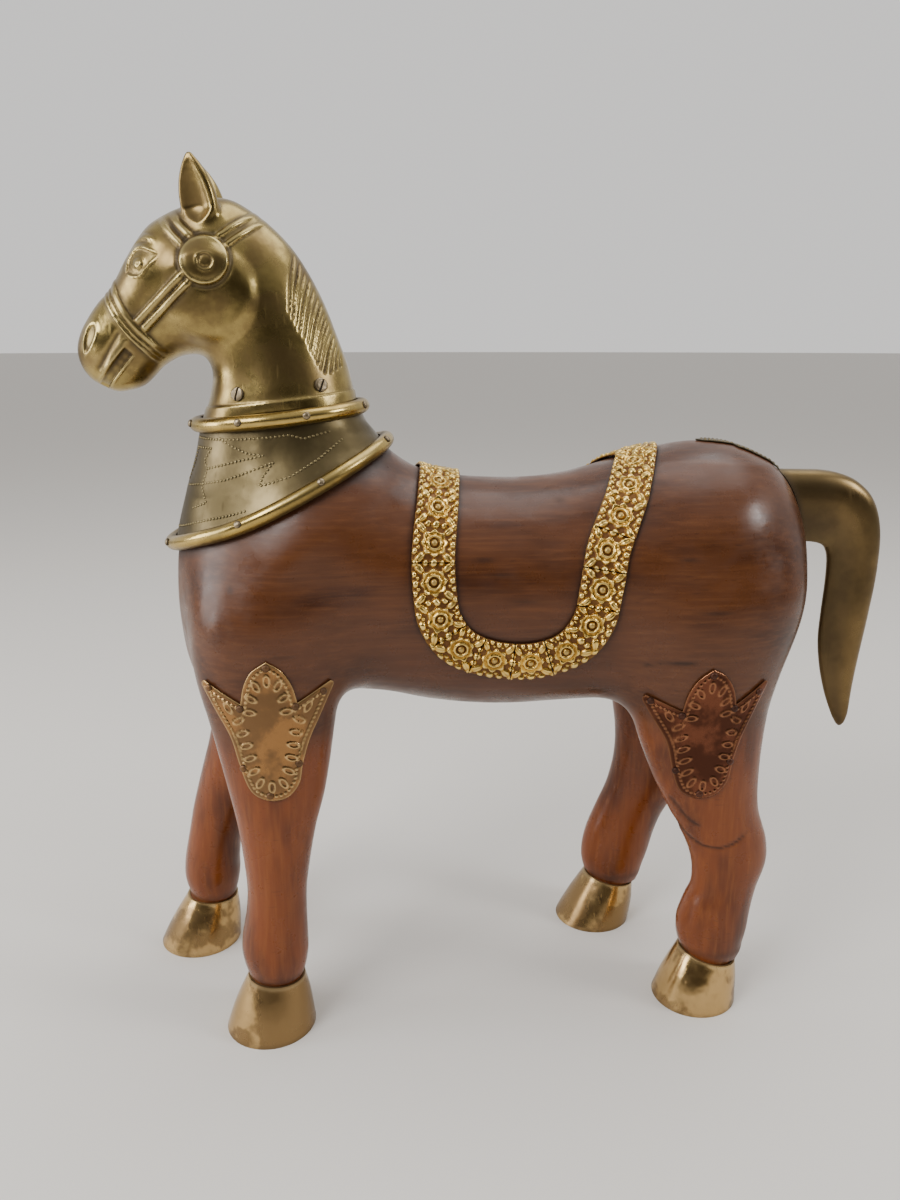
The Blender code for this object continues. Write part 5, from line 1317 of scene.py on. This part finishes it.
def makeLegPlates():
    # A grid between the plate's upper and lower edges, cast from inside the leg out to the wood.
    columns, rows = 130, 124
    top, foot = plateEdges()
    across = np.unique(np.concatenate([np.linspace(-31.3, 31, columns), [p[0] for p in plateTop]]))
    top, foot = (np.interp(across, *edge.T) for edge in (top, foot))
    down = np.linspace(0, 1, rows)[:, None]
    own = top + (foot - top) * down
    wide = np.broadcast_to(across, own.shape)
    relief = plateHeight(wide, own)
    low = np.clip(relief / 0.5, 0, 1) ** 2
    inside = -outlineDistance(wide, own, np.array(plateOutline, float))
    border = bump(np.maximum(inside, 0), 0.6)
    for name, (x, z, slant, lean) in platePlaces.items():
        side = -1 if "left" in name else 1
        height = z + own + slant * across
        along = x + across + lean * (height - z)
        start = np.stack([along, side * 12.0 + 0 * height, height], -1).reshape(-1, 3)
        p = castOut(woodField, start, np.array([0.0, side, 0.0]), 70)
        p, n = settle(woodField, p, rounds=2)
        p, n = p.reshape(*own.shape, 3), n.reshape(*own.shape, 3)
        inner = plateSizes["clearance"]
        outer = inner + plateSizes["thickness"] - 0.25 * border
        points = np.concatenate([p + n * inner, p + n * (outer + relief)[..., None]]).reshape(-1, 3)
        faces = sheetFaces(*own.shape).tolist()
        # Dirt and painted shade round the foot of the dots and petals and in their sunk middles, and painted
        # shade over the plate's inner side.
        dirt = 0.3 * bump(np.abs(relief - 0.08), 0.05) + 0.45 * smoothStep(-0.05, -0.3, relief)
        hollow = [np.ones(own.size), dirt.ravel()]
        # Painted highlight along the border, and rubbed wear and painted highlight on the raised relief.
        edge = [np.zeros(own.size), np.maximum(low, 0.7 * border).ravel()]
        done = 2 * own.size
        nailPoints, nailFaces = [], []
        for na, nh in plateNails:
            i = int(np.abs(across - na).argmin())
            j = int(np.abs(own[:, i] - nh).argmin())
            foot = p[j, i] + n[j, i] * (inner + plateSizes["thickness"])
            more, rim = turned(plateNailProfile, foot, n[j, i], 18)
            nailPoints.append(more)
            nailFaces.append([[done + k for k in f] for f in rim])
            done += len(more)
            # The nails are darker all over, and darkest round their feet, with painted shade.
            hollow.append(np.repeat([1.0, 1.0, 0.8, 0.65, 0.6], 18))
            edge.append(np.zeros(len(more)))
        words = "".join(part.title() for part in name.split("_"))
        for group in nailFaces:
            faces += group
        sheet = plateBrass if "front" in name else plateCopper
        marks = {"hollow": np.concatenate(hollow), "edge": np.concatenate(edge)}
        points = np.vstack([points, *nailPoints])
        addPiece(f"legPlate{words}", points, faces, sheet, [f"leg_plate_{name}"], marks)
    print("leg plates made")


# The croup plate's outline: place along the back and half width there.
croup = [(137, 0.6), (140, 4.5), (147, 6.5), (155, 6.5), (157, 10.5), (166, 12), (174, 13), (178.5, 12.5)]


def makeCroupPlate():
    # A grid over the croup whose half width follows the plate's notched outline.
    x = np.unique(np.concatenate([np.linspace(137, 178.5, 90), [c[0] for c in croup]]))
    half = np.interp(x, *np.transpose(croup))
    y = np.linspace(-1, 1, 60)[:, None] * half[None]
    start = np.stack([np.broadcast_to(x, y.shape), y, np.full(y.shape, 250.0)], -1).reshape(-1, 3)
    p = castOut(woodField, start, np.array([0.0, 0.0, 1.0]), 90)
    p, n = settle(woodField, p, rounds=2)
    p, n = p.reshape(*y.shape, 3), n.reshape(*y.shape, 3)
    rim = 1 - np.abs(y) / half
    dots = np.zeros(y.shape)
    for dx in np.arange(141, 178, plateSizes["dotPitch"]):
        h = np.interp(dx, *np.transpose(croup)) - 2.0
        for s in (-1, 1):
            dots = np.maximum(dots, rib(np.hypot(x[None] - dx, y - s * h), 0.8, 0.5))
    under = plateSizes["croupClearance"]
    over = under + plateSizes["croupThickness"] + dots
    points = np.concatenate([p + n * under, p + n * over[..., None]]).reshape(-1, 3)
    # Painted shade over the inner side and along the outline, and the dots lightened by rubbed wear and
    # painted highlight.
    marks = {
        "hollow": np.concatenate([np.ones(y.size), (0.5 * bump(rim, 0.06)).ravel()]),
        "edge": np.concatenate([np.zeros(y.size), np.clip(dots * 2, 0, 1).ravel()]),
    }
    addPiece("croupPlate", points, sheetFaces(*y.shape), collarBrass, ["croup_plate"], marks)


makeLegPlates()
makeCroupPlate()


# Hooves and tail.


def makeHooves():
    # Rings round each hoof from the sole up its outer wall, over the rim and down inside.
    around, rows = 96, 26
    turn = np.linspace(0, 2 * math.pi, around, endpoint=False)
    for number, (name, (_, _, _, rise)) in enumerate(hoofPlaces.items()):
        side = -1 if "left" in name else 1
        wall = hoofSizes["wall"]
        rings, hollow, edge = [], [], []
        outside = [(t, 0.0) for t in np.linspace(0, 1, rows)]
        for t, inset in outside + [(t, wall) for t in np.linspace(1, 0, 5)]:
            height = t * (hoofSizes["height"] - rise * (1 + np.cos(turn)) / 2)
            middle, length, width = hoofRadii(name, height)
            # Beaten sheet: shallow waves, and a soldered seam at a different place on each hoof.
            wave = -0.22 * (0.5 + 0.5 * np.sin(3 * turn + 5 * t + number)) * math.sin(math.pi * t)
            seam = 0.35 * bump((turn + 0.5 + number) % (2 * math.pi) - math.pi, 0.05)
            seam = seam * math.sin(math.pi * min(t * 1.2, 1))
            lip = 0.25 * bump(t - 0.985, 0.02) if inset == 0 else 0.0
            grown = (wave + seam + lip) if inset == 0 else 0 * turn
            rings.append(np.stack([
                middle + (length - inset + grown) * np.cos(turn),
                side * hoofSizes["track"] + (width - inset + grown) * np.sin(turn),
                height,
            ], 1))
            # The seam is a darker joint. The inner wall is all painted shade, painted shade runs along the
            # foot on the floor and under the rim, and a painted highlight runs along the lip.
            dirt = 0.2 * (seam > 0.1) if inset == 0 else 1.0
            hollow.append(np.full(around, 0.55 * bump(t, 0.05) + 0.5 * bump(1 - t, 0.03)) + dirt)
            edge.append(np.full(around, 0.5 * bump(t - 0.97, 0.03)))
        words = "".join(part.title() for part in name.split("_"))
        marks = {"hollow": np.clip(np.concatenate(hollow), 0, 1), "edge": np.concatenate(edge)}
        faces = tubeQuads(len(rings), around, closed=True)
        addPiece(f"hoof{words}", np.vstack(rings), faces, hoofBrass, [f"hoof_{name}"],
                 marks, crease=50)
    print("hooves made")


# Each section of the tail: its outer point, its inner point and its half width.
tailSections = [
    (186, 294, 186, 252.5, 9), (203, 292.5, 203, 252.5, 9.2), (217, 290.5, 212.5, 250.5, 9),
    (229, 285.5, 216, 245.5, 8.6), (239, 275.5, 217, 238, 8.4), (244.6, 259, 217, 226, 8.2),
    (245.4, 236, 216.4, 211, 8), (243.2, 210, 216.4, 195, 7.6),
    (240.6, 188, 219, 178.5, 6.9), (238.8, 168.5, 223.6, 162.5, 5.6), (238.2, 154, 229, 149.5, 4.3),
    (237.8, 149.6, 230.8, 146.2, 3.7), (236.9, 145.4, 232.4, 143.6, 2.6), (235.8, 143, 233.8, 142.2, 1.2),
]


def makeTail():
    # Sections from the tail's inner edge to its outer one, round outside and bevelled to a narrow inner
    # edge. The first rings lie on the croup.
    around = 64
    turn = np.linspace(0, 2 * math.pi, around, endpoint=False)
    across, out = (np.sign(v) * np.abs(v) ** 0.7 for v in (np.cos(turn), np.sin(turn)))
    across = across * (1 - 0.62 * np.clip((0.2 - out) / 1.2, 0, 1) ** 1.2)
    curve = spline(tailSections, 261)[17:]
    rings = []
    for ox, oz, ix, iz, half in curve:
        middle = np.array([(ox + ix) / 2, 0, (oz + iz) / 2])
        reach = np.array([(ox - ix) / 2, 0, (oz - iz) / 2])
        rings.append(middle + out[:, None] * reach + across[:, None] * np.array([0, half, 0]))
    caps = []
    for share in (0.02, 0.3, 0.6, 0.85, 1.0):
        spot = rings[0].mean(0) + (rings[0] - rings[0].mean(0)) * share
        spot[:, 0] = 120.0
        hit = castOut(woodField, spot, np.array([1.0, 0.0, 0.0]), 120)
        hit, normal = settle(woodField, hit, rounds=1)
        caps.append(hit + np.array([1.0, 0, 0]) * 0.8 / np.maximum(normal[:, :1], 0.5))
    rings = rings[7:]
    between = [caps[-1] + (rings[0] - caps[-1]) * t for t in (0.12, 0.25, 0.45, 0.7)]
    rings = caps + between + rings
    points = np.vstack(rings)
    faces = tubeQuads(len(rings), around).tolist()
    faces += [list(range(around))[::-1], list(range((len(rings) - 1) * around, len(rings) * around))]
    # Painted shade at the root on the croup and over the inner side, and painted highlights along the outer
    # and inner edges.
    root = np.repeat([0.8 * bump(max(k - 4, 0), 1.2) for k in range(len(rings))], around)
    root = np.maximum(root, np.tile(0.42 * smoothStep(0.25, -0.5, out), len(rings)))
    edge = np.tile(np.clip(np.abs(out), 0, 1) ** 4, len(rings)) * 0.5
    marks = {"hollow": root, "edge": edge}
    addPiece("brassTail", points, faces, tailBrassShaded, ["brass_tail"], marks, crease=60)
    print("tail made")


makeHooves()
makeTail()


# Floor, light and camera.

studio = {
    "floor": "#d8d4ce", "floorRoughness": 0.75, "floorReach": 30,
    "wall": "#f2f0ee", "room": "#47423c", "strength": 1.0,
    # Each lamp: place, what it points at, size, and power in watts.
    "lamps": {
        "windowLamp": ((-1.1, -0.9, 1.25), (0, 0, 0.25), 0.8, 20),
        "ceilingLamp": ((0.5, 0.2, 1.7), (0, 0, 0.2), 1.2, 12),
        "sideLamp": ((1.3, -0.5, 0.9), (0.05, 0, 0.25), 0.4, 8),
        "leftLamp": ((-1.5, -0.15, 0.55), (0, 0, 0.25), 0.7, 12),
    },
}
view = {"place": (-0.0801, -0.5045, 0.36), "tilt": 75, "turn": -5.8, "lens": 29.13, "sensor": 36}


def makeFloor():
    # A wide flat disc of rings that grow outwards.
    around = 96
    turn = np.linspace(0, 2 * math.pi, around, endpoint=False)
    radii = np.concatenate([[0.02], np.geomspace(0.3, studio["floorReach"], 14)])
    points = np.vstack([np.stack([r * np.cos(turn), r * np.sin(turn), 0 * turn], 1) for r in radii])
    mesh = bpy.data.meshes.new("floor")
    faces = tubeQuads(len(radii), around).tolist() + [list(range(around))]
    mesh.from_pydata(points.tolist(), [], faces)
    shape = bmesh.new()
    shape.from_mesh(mesh)
    for face in shape.faces:
        if face.normal.z < 0:
            face.normal_flip()
    shape.to_mesh(mesh)
    shape.free()
    made, _, shader, _ = startMaterial("paleFloor")
    shader.inputs["Base Color"].default_value = colour(studio["floor"])
    shader.inputs["Roughness"].default_value = studio["floorRoughness"]
    mesh.materials.append(made)
    floor = bpy.data.objects.new("floor", mesh)
    bpy.context.scene.collection.objects.link(floor)


def makeLight():
    # A pale wall behind and a pale ceiling, a dimmer room in front, and four wide soft lamps.
    world = bpy.data.worlds.new("studio")
    world.use_nodes = True
    bpy.context.scene.world = world
    tree = world.node_tree
    way = addNode(tree, "TexCoord").outputs["Generated"]
    parts = addNode(tree, "SeparateXYZ", {}, {0: way})
    behind = ranged(tree, parts.outputs[1], -0.35, 0.45)
    above = ranged(tree, parts.outputs[2], 0.2, 0.9, 0.0, 0.8)
    share = sums(tree, "MAXIMUM", behind, above)
    shade = mixed(tree, share, studio["room"], studio["wall"])
    tree.links.new(shade, tree.nodes["Background"].inputs["Color"])
    tree.nodes["Background"].inputs["Strength"].default_value = studio["strength"]
    for name, (place, target, size, power) in studio["lamps"].items():
        lamp = bpy.data.lights.new(name, "AREA")
        lamp.shape = "SQUARE"
        lamp.size = size
        lamp.energy = power
        made = bpy.data.objects.new(name, lamp)
        made.location = place
        toward = np.array(target) - np.array(place)
        level = math.hypot(toward[0], toward[1])
        made.rotation_euler = (math.atan2(level, -toward[2]), 0, math.atan2(-toward[0], toward[1]))
        bpy.context.scene.collection.objects.link(made)


def makeCamera():
    # Stands where the photograph was taken from: it looks 15 degrees down and 5.8 degrees towards the tail.
    data = bpy.data.cameras.new("camera")
    data.sensor_width = view["sensor"]
    data.lens = view["lens"]
    data.clip_start = 0.01
    made = bpy.data.objects.new("camera", data)
    made.location = view["place"]
    made.rotation_euler = (math.radians(view["tilt"]), 0, math.radians(view["turn"]))
    bpy.context.scene.collection.objects.link(made)
    bpy.context.scene.camera = made


makeFloor()
makeLight()
makeCamera()
